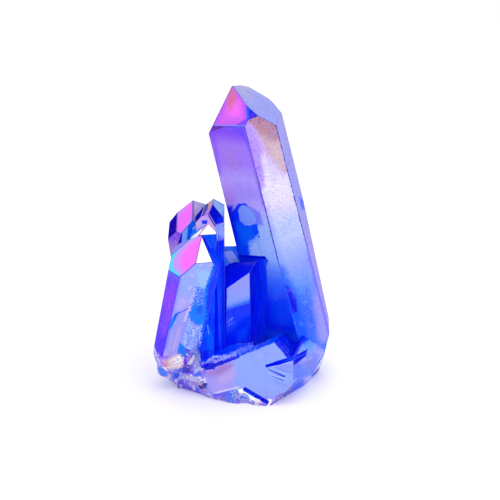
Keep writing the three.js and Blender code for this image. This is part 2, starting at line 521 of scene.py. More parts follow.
def smooth_normals(mesh, rounds):
    """Vertex normals averaged over their neighbours, so that a break pushes one way over its whole width."""
    count = len(mesh.vertices)
    normals = np.empty(count * 3)
    mesh.vertex_normals.foreach_get("vector", normals)
    normals = normals.reshape(-1, 3)
    edges = np.empty(len(mesh.edges) * 2, dtype=np.int64)
    mesh.edges.foreach_get("vertices", edges)
    edges = edges.reshape(-1, 2)
    for _ in range(rounds):
        total = normals.copy()
        np.add.at(total, edges[:, 0], normals[edges[:, 1]])
        np.add.at(total, edges[:, 1], normals[edges[:, 0]])
        normals = total / np.maximum(np.linalg.norm(total, axis=1), TINY)[:, None]
    return normals


SEED = 11
LEFT_EDGE = -17.8  # hollows left of about here are shallow, so the foot keeps its outline
LEFT_EDGE_FADE = 2.5
LEFT_EDGE_SHARE = 0.35
KNOB = ((-18.2, -2.8, 4.1), 2.4, 0.75)  # centre, radius and height of the knob on the foot's left edge
HOLLOW_REACH = 1.5  # half-widths from a hollow's middle to where it ends
HOLLOW_FADE = 0.3  # half-widths over which its end fades
HOLLOW_LIMIT = 1.5  # times its depth, the furthest that it moves a corner
HOLLOW_FACING = 0.1  # a hollow marks only surface that faces its own way
SMOOTHING_ROUNDS = 6
UNDERSIDE_HEIGHT = 0.05  # corners below this stay where they are
LUMP_GRAIN = 1.6  # lumps on the ledge, to the millimetre
LUMP_HEIGHT = 0.16
LUMP_NOISE = (1.0, 2.2, 3)  # roughness, step between octaves and number of octaves


def zone(x=(-FAR, FAR), y=(-FAR, FAR), z=(-FAR, FAR), slope=(-FAR, FAR)):
    """Tells which corners lie between these limits; slope is the upward part of the normal."""

    def inside(points, normals):
        within = np.ones(len(points), dtype=bool)
        for values, (low, high) in zip((*points.T, normals[:, 2]), (x, y, z, slope)):
            within &= (values > low) & (values < high)
        return within

    return inside


def nearest_to(spot):
    """Tells which corner lies nearest to a spot."""

    def inside(points, normals):
        away = np.linalg.norm(points - np.array(spot), axis=1)
        return away <= away.min()

    return inside


LEFT_FOOT = zone(x=(-FAR, -9), y=(-FAR, 3), z=(0.2, 9.6), slope=(-0.9, 0.8))
# Where hollows lie, how many there are, half their width, and their depth as a share of that.
BREAK_ZONES = [
    (zone(y=(3, FAR), z=(0.6, FAR), slope=(-0.8, FAR)), 90, (1.5, 5), (0.05, 0.14)),
    (zone(x=(9.5, FAR), y=(-FAR, 6), z=(0.5, 9)), 20, (1.0, 3.0), (0.05, 0.12)),
    (zone(z=(0.3, 1.6), slope=(-0.8, 0.8)), 80, (0.5, 1.5), (0.1, 0.25)),
    (LEFT_FOOT, 90, (0.6, 1.7), (0.1, 0.22)),
    (LEFT_FOOT, 170, (0.3, 0.7), (0.12, 0.3)),
]
BREAK_ZONES += [(nearest_to(spot), 1, (half, half), (depth / half,) * 2) for spot, half, depth in SCARS]


def shell_breaks(points, normals, zones, rng):
    """Scoops shell-shaped hollows. Returns the moved points and, for each, the number of its last hollow."""
    marks = np.zeros(len(points), dtype=np.int64)
    number = 0
    for inside, count, sizes, depth_share in zones:
        candidates = np.nonzero(inside(points, normals))[0]
        if not len(candidates):
            continue
        for _ in range(count):
            number += 1
            spot = rng.choice(candidates)
            normal = normals[spot]
            half_width = rng.uniform(*sizes)
            depth = half_width * rng.uniform(*depth_share)
            radius = (half_width**2 + depth**2) / (2 * depth)
            centre = points[spot] + normal * (radius - depth)
            offset = points - centre
            reach = np.linalg.norm(points - points[spot], axis=1) / half_width
            near = np.einsum("ij,ij->i", offset, offset) < radius**2
            near &= (normals @ normal > HOLLOW_FACING) & (reach < HOLLOW_REACH)
            inner = offset[near]
            along = inner @ normal
            travel = along + np.sqrt(along**2 - np.einsum("ij,ij->i", inner, inner) + radius**2)
            fade = np.clip((HOLLOW_REACH - reach[near]) / HOLLOW_FADE, 0, 1)
            travel = np.minimum(travel, HOLLOW_LIMIT * depth) * fade
            points[near] -= travel[:, None] * normal
            marks[near] = number
    return points, marks


def break_up(mesh):
    """Moves the corners into hollows and lumps, and gives each face the tint number of its last hollow."""
    rng = np.random.default_rng(SEED)
    points = np.empty(len(mesh.vertices) * 3)
    mesh.vertices.foreach_get("co", points)
    points = points.reshape(-1, 3)
    normals = smooth_normals(mesh, SMOOTHING_ROUNDS)
    base = points.copy()
    points, marks = shell_breaks(points, normals, BREAK_ZONES, rng)
    points = keep_left_edge(base, points, normals)
    underside = base[:, 2] < UNDERSIDE_HEIGHT
    points[underside] = base[underside]
    points[:, 2] = np.maximum(points[:, 2], 0)
    for index in np.nonzero(on_ledge(base))[0]:
        lump = noise.fractal(Vector(base[index] * LUMP_GRAIN), *LUMP_NOISE)
        points[index] += normals[index] * lump * LUMP_HEIGHT
    mesh.vertices.foreach_set("co", points.reshape(-1))
    tints = rng.random(marks.max() + 1)
    tints[0] = -1
    tint_faces(mesh, tints[marks])
    mesh.update()


def tint_faces(mesh, values):
    """Keeps the value of each face's first corner as its "chip"."""
    first = np.empty(len(mesh.polygons), dtype=np.int64)
    mesh.polygons.foreach_get("loop_start", first)
    corners = np.empty(len(mesh.loops), dtype=np.int64)
    mesh.loops.foreach_get("vertex_index", corners)
    chips = mesh.attributes.new("chip", "FLOAT", "FACE")
    chips.data.foreach_set("value", values[corners[first]])


def keep_left_edge(base, points, normals):
    """Shallower hollows along the left edge of the foot, and the small knob that stands out there."""
    hold = np.clip((base[:, 0] - LEFT_EDGE) / LEFT_EDGE_FADE, LEFT_EDGE_SHARE, 1)
    points = base + (points - base) * hold[:, None]
    centre, radius, height = KNOB
    near = np.clip(1 - (np.linalg.norm(base - np.array(centre), axis=1) / radius) ** 2, 0, 1)
    return points + normals * (height * near**2)[:, None]


LEDGE_DEPTH = 0.25  # the ledge starts this far behind the front break
LEDGE_HEIGHT = 6.0
LEDGE_BACK = 0
LEDGE_RIGHT = 9


def on_ledge(points):
    """Which corners lie on the rough ledge between the front breaks and the feet of the points."""
    pale = np.array(normal_of(UPRIGHT, PALE_BREAK))
    behind = distance_of(UPRIGHT, PALE_BREAK) - points @ pale
    x, y, z = points.T
    return (z > LEDGE_HEIGHT) & (behind > LEDGE_DEPTH) & (y < LEDGE_BACK) & (x < LEDGE_RIGHT)


# ---------------------------------------------------------------- colours


def srgb(red, green, blue):
    """An sRGB colour of 0-255 as the linear colour that a shader takes."""
    values = []
    for value in (red, green, blue):
        share = value / 255
        values.append(share / 12.92 if share <= 0.04045 else ((share + 0.055) / 1.055) ** 2.4)
    return (*values, 1.0)


WHITE = srgb(255, 255, 255)
PINK = srgb(217, 99, 238)
ORCHID = srgb(188, 90, 232)
HOT_PINK = srgb(250, 108, 255)
PINK_VIOLET = srgb(180, 84, 255)
SALMON = srgb(218, 108, 160)
RUST = srgb(200, 104, 124)
DUSTY_PINK = srgb(206, 128, 164)
PEACH = srgb(206, 176, 172)
TAN = srgb(184, 140, 148)
TARNISH = srgb(154, 78, 92)
CREAM = srgb(255, 232, 220)
ROSE = srgb(176, 128, 212)
TARNISH_ROSE = srgb(162, 120, 206)
PALE_ROSE = srgb(204, 180, 234)
PINK_LAVENDER = srgb(196, 150, 248)
PALE_VIOLET = srgb(180, 158, 255)
LAVENDER = srgb(168, 156, 242)
DUSTY_LAVENDER = srgb(158, 150, 226)
LAVENDER_BLUE = srgb(136, 148, 248)
PALE_LAVENDER = srgb(212, 208, 250)
PALE_MIST = srgb(176, 192, 255)
ICE = srgb(230, 224, 252)
ICE_BLUE = srgb(178, 212, 255)
ICE_VIOLET = srgb(202, 190, 255)
GREY_LAVENDER = srgb(156, 156, 220)
STEEL = srgb(122, 128, 210)
STEEL_MIST = srgb(140, 150, 238)
STEEL_BLUE = srgb(84, 106, 228)
DUSK = srgb(60, 54, 180)
MIST = srgb(146, 166, 252)
PALE_BLUE = srgb(142, 172, 255)
SKY = srgb(98, 148, 255)
HAZE = srgb(122, 150, 252)
ROYAL = srgb(3, 38, 250)
SKY_BLUE = srgb(56, 118, 255)
CYAN = srgb(70, 214, 244)
AQUA = srgb(156, 226, 255)
PALE_AQUA = srgb(150, 196, 252)
AZURE = srgb(14, 122, 255)
BRIGHT_BLUE = srgb(4, 84, 255)
MID_BLUE = srgb(40, 98, 255)
VEIL_BLUE = srgb(92, 116, 240)
VEIL_VIOLET = srgb(132, 138, 252)
BLUE = srgb(4, 54, 250)
DEEP_BLUE = srgb(2, 26, 240)
DARK_BLUE = srgb(4, 14, 214)
NAVY = srgb(4, 8, 186)
INDIGO = srgb(84, 48, 255)
DARK_VIOLET = srgb(24, 8, 160)
VIOLET_BLUE = srgb(70, 50, 236)
PLUM = srgb(108, 10, 172)
VIOLET = srgb(134, 66, 250)
BLUE_VIOLET = srgb(104, 62, 255)
SOFT_LILAC = srgb(166, 122, 250)
SOFT_VIOLET = srgb(160, 112, 252)
STRIPE_VIOLET = srgb(106, 96, 238)


QUARTZ_IOR = 1.54
WATER = (0.42, 0.5, 0.98, 1)  # colour of the crystal's body
WATER_DENSITY = 55  # per metre
FACING_FRONT = (0, 90, 0)  # turn, tilt and reach of an upright plane that faces -Y
MIDWAY = 0.5
# Lumps of the noise, in millimetres, and its octaves.
PATCH_DETAIL = 5
LINE_GRAIN = 0.4
RIM_GRAIN = 0.5
RIM_DETAIL = 4
RIM_FADE = 1  # a rim fades over this much of the face's height on each side of its end
STREAK_DETAIL = 2
RELIEF_DETAIL = 4
SHADE_GRAIN = 0.25
SHADE_DETAIL = 2
SHADE_SPREAD = 0.3  # noise between minus and plus this takes the colour from darkest to lightest
SPECK_SOFT = 0.3  # a speck fades over this share of its radius, inside and outside


class Film:
    """The colours of one face, laid out on it in millimetres: u to the right and v up the point."""

    def __init__(self, name, point=UPRIGHT, face=FACING_FRONT, rough=0.08, clear=0.0, gloss=0.3):
        self.material = bpy.data.materials.new(name)
        self.material.use_nodes = True
        self.tree = self.material.node_tree
        self.shader = self.tree.nodes["Principled BSDF"]
        self.shader.inputs["Roughness"].default_value = rough
        self.shader.inputs["IOR"].default_value = QUARTZ_IOR
        self.shader.inputs["Transmission Weight"].default_value = clear
        self.shader.inputs["Specular IOR Level"].default_value = gloss
        self.point = point
        self.normal = normal_of(point, face)
        right, up = face_axes(point, self.normal)
        offset = -(Vector(point["foot"]) + SHIFT)
        spot = self.add("ShaderNodeTexCoord").outputs["Object"]
        inputs = {0: spot, 1: (1 / MM,) * 3, 2: offset}
        scaled = self.add("ShaderNodeVectorMath", inputs, operation="MULTIPLY_ADD")
        self.spot = scaled.outputs["Vector"]
        self.u = self.dot(self.spot, right)
        self.v = self.dot(self.spot, up)
        self.here = self.add("ShaderNodeCombineXYZ", {0: self.u, 1: self.v, 2: 1.0}).outputs[0]
        self.clear_water()

    def add(self, kind, inputs=None, **settings):
        """A node with these settings, and its inputs set to values or linked to sockets."""
        made = self.tree.nodes.new(kind)
        for key, value in settings.items():
            setattr(made, key, value)
        for key, value in (inputs or {}).items():
            if isinstance(value, bpy.types.NodeSocket):
                self.tree.links.new(value, made.inputs[key])
            else:
                made.inputs[key].default_value = value
        return made

    def clear_water(self):
        """The body of the crystal: a faint blue that deepens with thickness."""
        volume = self.add("ShaderNodeVolumeAbsorption", {"Color": WATER, "Density": WATER_DENSITY})
        out = self.tree.nodes["Material Output"]
        self.tree.links.new(volume.outputs[0], out.inputs["Volume"])

    def dot(self, vector, direction):
        """How far a spot lies along a direction."""
        made = self.add("ShaderNodeVectorMath", {0: vector, 1: direction}, operation="DOT_PRODUCT")
        return made.outputs["Value"]

    def math(self, operation, first, second):
        """One sum of two values."""
        return self.add("ShaderNodeMath", {0: first, 1: second}, operation=operation).outputs[0]

    def between(self, value, low, high, start=0.0, end=1.0, smooth=True):
        """Goes from start to end as the value goes from low to high, and stays there beyond them."""
        kind = "SMOOTHSTEP" if smooth else "LINEAR"
        inputs = {0: value, 1: low, 2: high, 3: start, 4: end}
        made = self.add("ShaderNodeMapRange", inputs, interpolation_type=kind)
        return made.outputs[0]

    def clouds(self, grain, detail=3.0):
        """Noise about 0 with lumps of `grain` millimetres."""
        inputs = {"Vector": self.spot, "Scale": 1 / grain, "Detail": detail}
        made = self.add("ShaderNodeTexNoise", inputs)
        return self.math("SUBTRACT", made.outputs["Fac"], MIDWAY)

    def mix(self, colour, share):
        """Lays a colour over what is there, by a share from 0 to 1."""
        made = self.add("ShaderNodeMix", {"Factor": share, 6: self.colour, 7: colour}, data_type="RGBA")
        self.colour = made.outputs[2]

    def roughen(self, depth, ragged, grain, detail):
        """Moves an edge in and out by up to `ragged` millimetres."""
        if not ragged:
            return depth
        return self.math("ADD", depth, self.math("MULTIPLY", self.clouds(grain, detail), 2 * ragged))

    def wash(self, stops, drift=1.0, grain=3.0, along=None):
        """A run of colours [(millimetres, colour), ...] up the face."""
        low, high = stops[0][0], stops[-1][0]
        value = along or self.v
        if drift:
            value = self.math("ADD", value, self.math("MULTIPLY", self.clouds(grain), drift))
        share = self.between(value, low, high, smooth=False)
        run = self.ramp(share, [((place - low) / (high - low), colour) for place, colour in stops])
        self.colour = run.outputs["Color"]

    def ramp(self, value, stops):
        """Colours [(place, colour), ...] along a value from 0 to 1."""
        made = self.add("ShaderNodeValToRGB", {0: value})
        points = made.color_ramp.elements
        while len(points) < len(stops):
            points.new(MIDWAY)
        for element, (place, colour) in zip(points, stops):
            element.position = place
            element.color = colour
        return made

    def patch(self, colour, corners, soft=0.3, ragged=0.0, grain=0.6, strength=1.0):
        """A convex patch of colour with the given corners, (u, v) in millimetres."""
        area = sum(a[0] * b[1] - b[0] * a[1] for a, b in zip(corners, corners[1:] + corners[:1]))
        side = 1 if area > 0 else -1
        depth = None
        for (u0, v0), (u1, v1) in zip(corners, corners[1:] + corners[:1]):
            length = math.hypot(u1 - u0, v1 - v0)
            a, b = -(v1 - v0) / length * side, (u1 - u0) / length * side
            edge = self.dot(self.here, (a, b, -a * u0 - b * v0))
            depth = edge if depth is None else self.math("MINIMUM", depth, edge)
        depth = self.roughen(depth, ragged, grain, PATCH_DETAIL)
        self.mix(colour, self.between(depth, -soft, soft, 0.0, strength))

    def line(self, colour, start, end, width, soft=0.1, ragged=0.0, strength=1.0):
        """A straight line of colour from start to end, (u, v) in millimetres."""
        (u0, v0), (u1, v1) = start, end
        length = math.hypot(u1 - u0, v1 - v0)
        across = (-(v1 - v0) / length * width / 2, (u1 - u0) / length * width / 2)
        corners = [
            (u0 + across[0], v0 + across[1]),
            (u1 + across[0], v1 + across[1]),
            (u1 - across[0], v1 - across[1]),
            (u0 - across[0], v0 - across[1]),
        ]
        self.patch(colour, corners, soft, ragged, LINE_GRAIN, strength)

    def crumbs(self, corners, *layers):
        """A crumbled patch, in layers of (colour, soft, ragged, grain, strength), each more ragged."""
        for colour, soft, ragged, grain, strength in layers:
            self.patch(colour, corners, soft, ragged, grain, strength)

    def rim(self, colour, other, width, soft=0.1, ragged=0.0, strength=1.0, low=-FAR, high=FAR):
        """Colour along the edge with the face `other` of the same point, between two heights up the face."""
        face = face_named(self.point, other)
        outward = normal_of(self.point, face)
        slope = math.sqrt(1 - self.normal.dot(outward) ** 2)
        depth = self.dot(self.spot, -outward / slope)
        depth = self.math("ADD", depth, face[2] / slope)
        depth = self.roughen(depth, ragged, RIM_GRAIN, RIM_DETAIL)
        share = self.between(depth, width + soft, width - soft, 0.0, strength)
        if low > -FAR:
            share = self.math("MULTIPLY", share, self.between(self.v, low - RIM_FADE, low + RIM_FADE))
        if high < FAR:
            share = self.math("MULTIPLY", share, self.between(self.v, high + RIM_FADE, high - RIM_FADE))
        self.mix(colour, share)

    def streaks(self, colour, angle, width, length, start=0.52, end=0.7, strength=0.5):
        """Streaks of colour at `angle` degrees from u."""
        turn = math.radians(angle)
        along = self.dot(self.here, (math.cos(turn) / length, math.sin(turn) / length, 0))
        across = self.dot(self.here, (-math.sin(turn) / width, math.cos(turn) / width, 0))
        vector = self.add("ShaderNodeCombineXYZ", {0: along, 1: across}).outputs[0]
        made = self.add("ShaderNodeTexNoise", {"Vector": vector, "Scale": 1.0, "Detail": STREAK_DETAIL})
        self.mix(colour, self.between(made.outputs["Fac"], start, end, 0.0, strength))

    def blotches(self, colour, grain, start=0.05, end=0.2, strength=0.6):
        """Lumps of colour where noise of this grain passes from start to end."""
        self.mix(colour, self.between(self.clouds(grain), start, end, 0.0, strength))

    def specks(self, colour, spacing, radius, share, strength=0.7):
        """Small pits of colour, in a share of the cells of a grid `spacing` millimetres wide."""
        cells = self.add("ShaderNodeTexVoronoi", {"Vector": self.spot, "Scale": 1 / spacing})
        size = radius / spacing
        dot = self.between(cells.outputs["Distance"], size * (1 + SPECK_SOFT), size * (1 - SPECK_SOFT))
        pick = self.add("ShaderNodeSeparateColor", {0: cells.outputs["Color"]}).outputs[0]
        chosen = self.math("LESS_THAN", pick, share)
        both = self.math("MULTIPLY", dot, chosen)
        self.mix(colour, self.math("MULTIPLY", both, strength))

    def done(self, bump=0.02, grain=0.5, vary=0.05):
        """Joins the colour and a fine relief of `bump` millimetres to the shader."""
        if vary:
            clouds = self.clouds(SHADE_GRAIN, SHADE_DETAIL)
            shade = self.between(clouds, -SHADE_SPREAD, SHADE_SPREAD, 1 - vary, 1 + vary, smooth=False)
            made = self.add("ShaderNodeVectorMath", {0: self.colour, 1: shade}, operation="MULTIPLY")
            self.colour = made.outputs["Vector"]
        self.tree.links.new(self.colour, self.shader.inputs["Base Color"])
        if bump:
            inputs = {"Height": self.clouds(grain, RELIEF_DETAIL), "Distance": bump * MM, "Strength": 1.0}
            relief = self.add("ShaderNodeBump", inputs)
            self.tree.links.new(relief.outputs["Normal"], self.shader.inputs["Normal"])
        return self.material


def face_named(point, name):
    """The face of the point that carries the film of this name."""
    return next(face for face in point["faces"] if face[3] == name)


painters = {}


def film_on(point=UPRIGHT, face=FACING_FRONT, bump=0.02, grain=0.5, vary=0.05, **looks):
    """Lists the function below as the painter of the film of its own name.

    A film of one point lies on the face that carries its name, and any other film on the face given here.
    """

    def listed(paint):
        name = paint.__name__

        def make():
            own = face_named(point, name) if "faces" in point else face
            film = Film(name, point, own, **looks)
            paint(film)
            return film.done(bump, grain, vary)

        painters[name] = make
        return paint

    return listed


# ---------------------------------------------------------------- the films of the tall point


@film_on(TALL, bump=0.015, vary=0.2, clear=0.05, gloss=0.12)
def tall_top_left(film):
    film.wash([(45.8, ORCHID), (48.6, PINK), (50, PINK), (52, ORCHID)], drift=0.8)
    film.patch(PINK_VIOLET, [(2.0, 53.6), (-1.8, 45.4), (-0.6, 45.4), (1.5, 50)], soft=0.6, strength=0.9)
    film.patch(HOT_PINK, [(2.2, 50.4), (4.2, 50.2), (5.0, 47.8), (2.4, 47.4)], soft=0.9, strength=0.6)
    film.patch(
        SALMON, [(1.2, 53.2), (2.6, 52.8), (3.4, 50.2), (2.4, 48.6), (1.1, 49.6)],
        soft=0.7, ragged=0.7, grain=0.4,
    )
    film.patch(
        RUST, [(1.6, 52.6), (2.2, 52.4), (2.5, 50.6), (1.8, 49.8), (1.4, 50.6)],
        soft=0.5, ragged=0.4, grain=0.4, strength=0.8,
    )
    film.rim(PINK_VIOLET, "tall_top_front", 0.9, soft=0.6)
    film.rim(MID_BLUE, "tall_top_front", 0.3, soft=0.2, strength=0.8, high=49.5)
    film.patch(
        BLUE_VIOLET, [(3.0, 45.2), (5.2, 46.4), (7.5, 47.6), (7.5, 44.6), (3.0, 44.6)],
        soft=0.35, strength=0.9,
    )
    film.rim(SKY, "tall_left", 0.22, soft=0.14, strength=0.9)
    film.rim(DUSK, "tall_top_back_left", 0.2, soft=0.12, ragged=0.1, strength=0.8)
    film.blotches(ORCHID, 0.4, 0.04, 0.18)
    film.specks(SALMON, 0.4, 0.1, 0.45, strength=0.5)


@film_on(TALL, clear=0.05, gloss=0.1)
def tall_top_front(film):
    film.wash([(42.5, DARK_BLUE), (45.8, DEEP_BLUE)])
    film.patch(PLUM, [(5.6, 43.6), (6.3, 43.6), (6.0, 43.0), (5.4, 43.0)], soft=0.2, strength=0.6)
    film.rim(MID_BLUE, "tall_top_left", 0.3, soft=0.2, strength=0.8)


@film_on(TALL, bump=0.03, vary=0.18, rough=0.12, clear=0.25, gloss=0.12)
def tall_top_right(film):
    film.wash(
        [(34, STEEL_MIST), (40, STEEL_MIST), (43, GREY_LAVENDER), (47, GREY_LAVENDER)], drift=3.0, grain=2.5
    )
    film.blotches(LAVENDER, 1.6, strength=0.4)
    film.blotches(STEEL, 0.9, start=0.02, strength=0.5)
    film.blotches(MIST, 2.6, strength=0.4)
    film.streaks(STEEL, 60, 0.3, 3.0, strength=0.4)
    film.line(STEEL, (6.0, 42.6), (7.2, 39.0), 0.5, soft=0.3, ragged=0.5, strength=0.9)
    film.rim(STEEL, "tall_top_left", 0.25, soft=0.15, ragged=0.2, strength=0.7)
    film.specks(DUSK, 0.45, 0.12, 0.45, strength=0.6)


@film_on(TALL, vary=0.16, clear=0.2, gloss=0.15)
def tall_left(film):
    film.wash(
        [
            (8, ROYAL), (15, ROYAL), (18.5, BLUE), (21, BRIGHT_BLUE), (23, SKY_BLUE), (25.4, SKY),
            (27.6, PALE_AQUA), (31, ICE_BLUE), (36, ICE_BLUE), (39, ICE_VIOLET), (42, PALE_VIOLET),
            (46, PALE_VIOLET), (49, SOFT_LILAC), (53, SOFT_LILAC), (55.5, VIOLET), (58, VIOLET),
        ],
        drift=1.2,
    )
    film.patch(
        BLUE_VIOLET, [(1.5, 57.4), (7.2, 57.2), (7.2, 53.5), (4, 55.5)], soft=0.8, ragged=0.3, strength=0.7
    )
    film.patch(PINK_LAVENDER, [(-3.6, 45), (-1, 45), (0, 40.5), (-3.8, 40)], soft=0.9, strength=0.7)
    film.patch(ROSE, [(0, 51.5), (2.2, 52), (2.4, 48.0), (0.4, 47.5)], soft=1.0, ragged=0.4, strength=0.5)
    film.patch(VIOLET, [(-2.6, 56.4), (-1.2, 56.4), (-2.4, 47), (-3.6, 46)], soft=0.6, strength=0.6)
    film.patch(BLUE_VIOLET, [(4.9, 57.2), (7.6, 57.2), (7.4, 50), (6.3, 52)], soft=0.7, strength=0.7)
    film.patch(BRIGHT_BLUE, [(6.0, 57.4), (7.6, 57.2), (7.4, 55), (6.8, 55.6)], strength=0.6)
    film.patch(PLUM, [(-2.8, 57.6), (2.4, 57.6), (2.2, 57.0), (-2.4, 55.7)], soft=0.1)
    film.streaks(VIOLET, 40, 0.12, 3.0, 0.5, 0.62, strength=0.2)
    film.blotches(SOFT_VIOLET, 1.2, strength=0.2)
    film.specks(VIOLET, 0.5, 0.1, 0.4, strength=0.45)
    film.specks(DUSTY_LAVENDER, 0.3, 0.09, 0.4, strength=0.4)
    film.rim(STRIPE_VIOLET, "tall_front", 0.6, soft=0.5, strength=0.5, low=40)
    film.rim(DARK_VIOLET, "tall_front", 0.16, ragged=0.15, low=28, high=48)
    film.rim(VIOLET, "tall_front", 0.2, soft=0.15, ragged=0.4, low=48)
    film.patch(ROYAL, [(-7, 20), (4.4, 18.2), (8, 15.6), (8, 6), (-7, 6)], soft=1.6, ragged=0.8, grain=0.8)
    # From here to the pale oval: a painted reflection of the points in front of this face, blue patches round
    # a pale oval. The violet patch on its right comes first and is painted shade.
    film.patch(VEIL_VIOLET, [(1.4, 40.6), (4.9, 38.8), (4.9, 36.0), (2.0, 35.4)], soft=0.5, ragged=0.35)
    reflection_upper = [(-4.4, 39.3), (-2.4, 40.0), (-0.2, 40.3), (0.9, 41.3), (2.0, 40.2), (2.6, 36.0), (-4.4, 35.8)]
    film.patch(BLUE, reflection_upper, soft=0.12, ragged=0.2, grain=0.4)
    reflection_lower = [(-4.8, 36.6), (3.4, 36.0), (3.2, 33.4), (2.4, 32.0), (-0.8, 28.6), (-5, 28)]
    film.patch(BRIGHT_BLUE, reflection_lower, soft=0.1, ragged=0.45, grain=0.35)
    film.patch(
        DEEP_BLUE, [(-5, 39.6), (-1.8, 39.8), (-2.6, 34), (-3.2, 31), (-5, 30)], soft=0.6, ragged=0.3
    )
    film.patch(
        AZURE, [(-1.0, 31.5), (1.4, 33), (2.0, 30.8), (0.2, 28.8)], ragged=0.8, grain=0.4, strength=0.6
    )
    film.patch(
        AZURE, [(-2.4, 35.4), (1.6, 35.4), (1.4, 32), (-1.8, 31)],
        soft=0.7, ragged=1.0, grain=0.5, strength=0.6,
    )
    reflection_oval = [
        (-0.5, 39.0), (0.4, 39.9), (1.4, 40.1), (2.6, 39.3), (3.4, 38.1), (3.3, 36.4), (1.7, 35.6),
        (0.1, 35.6), (-1.0, 36.5),
    ]
    film.patch(PALE_BLUE, reflection_oval, soft=0.12, ragged=0.3, grain=0.4)
    film.patch(
        PALE_AQUA, [(0.0, 31.6), (2.8, 33.6), (2.6, 28.6), (-0.9, 28.4)], soft=0.06, ragged=1.5, grain=0.22
    )
    film.patch(
        ICE_BLUE, [(0.3, 31.0), (2.2, 32.0), (2.2, 28.6), (-0.5, 28.6)], soft=0.06, ragged=1.3, grain=0.3
    )
    film.patch(
        DARK_BLUE, [(-6, 28.4), (3.2, 28.9), (3.8, 27.8), (3.2, 27.0), (-6, 26.4)], soft=0.1, ragged=0.35
    )
    band = [(-6, 27.8), (3.5, 28.2), (2.5, 24.5), (1.7, 21.0), (0.5, 18.4), (-2.8, 10.9), (-6, 10)]
    film.patch(BLUE, band, soft=0.2, ragged=0.3)
    film.patch(
        SKY_BLUE, [(3.2, 24.0), (5.4, 24.4), (5.6, 19.6), (2.4, 19.0)],
        soft=0.5, ragged=3.0, grain=0.28, strength=0.5,
    )
    film.patch(
        BRIGHT_BLUE, [(1.8, 19.5), (6.8, 18.5), (6.0, 13), (0.6, 13)],
        soft=0.8, ragged=2.0, grain=0.35, strength=0.6,
    )
    film.patch(
        SKY, [(3.0, 27.6), (6.9, 27.4), (6.6, 24.6), (2.6, 24.4)], soft=0.9, ragged=0.5, strength=0.35
    )
    film.patch(AZURE, [(-6, 10.8), (8, 11.6), (8, 5), (-6, 5)], soft=1.0, ragged=0.6, strength=0.4)
    film.streaks(DARK_BLUE, 84, 0.3, 3.0, 0.62, 0.75, strength=0.2)
    film.rim(DARK_BLUE, "tall_back_left", 0.1, strength=0.6)


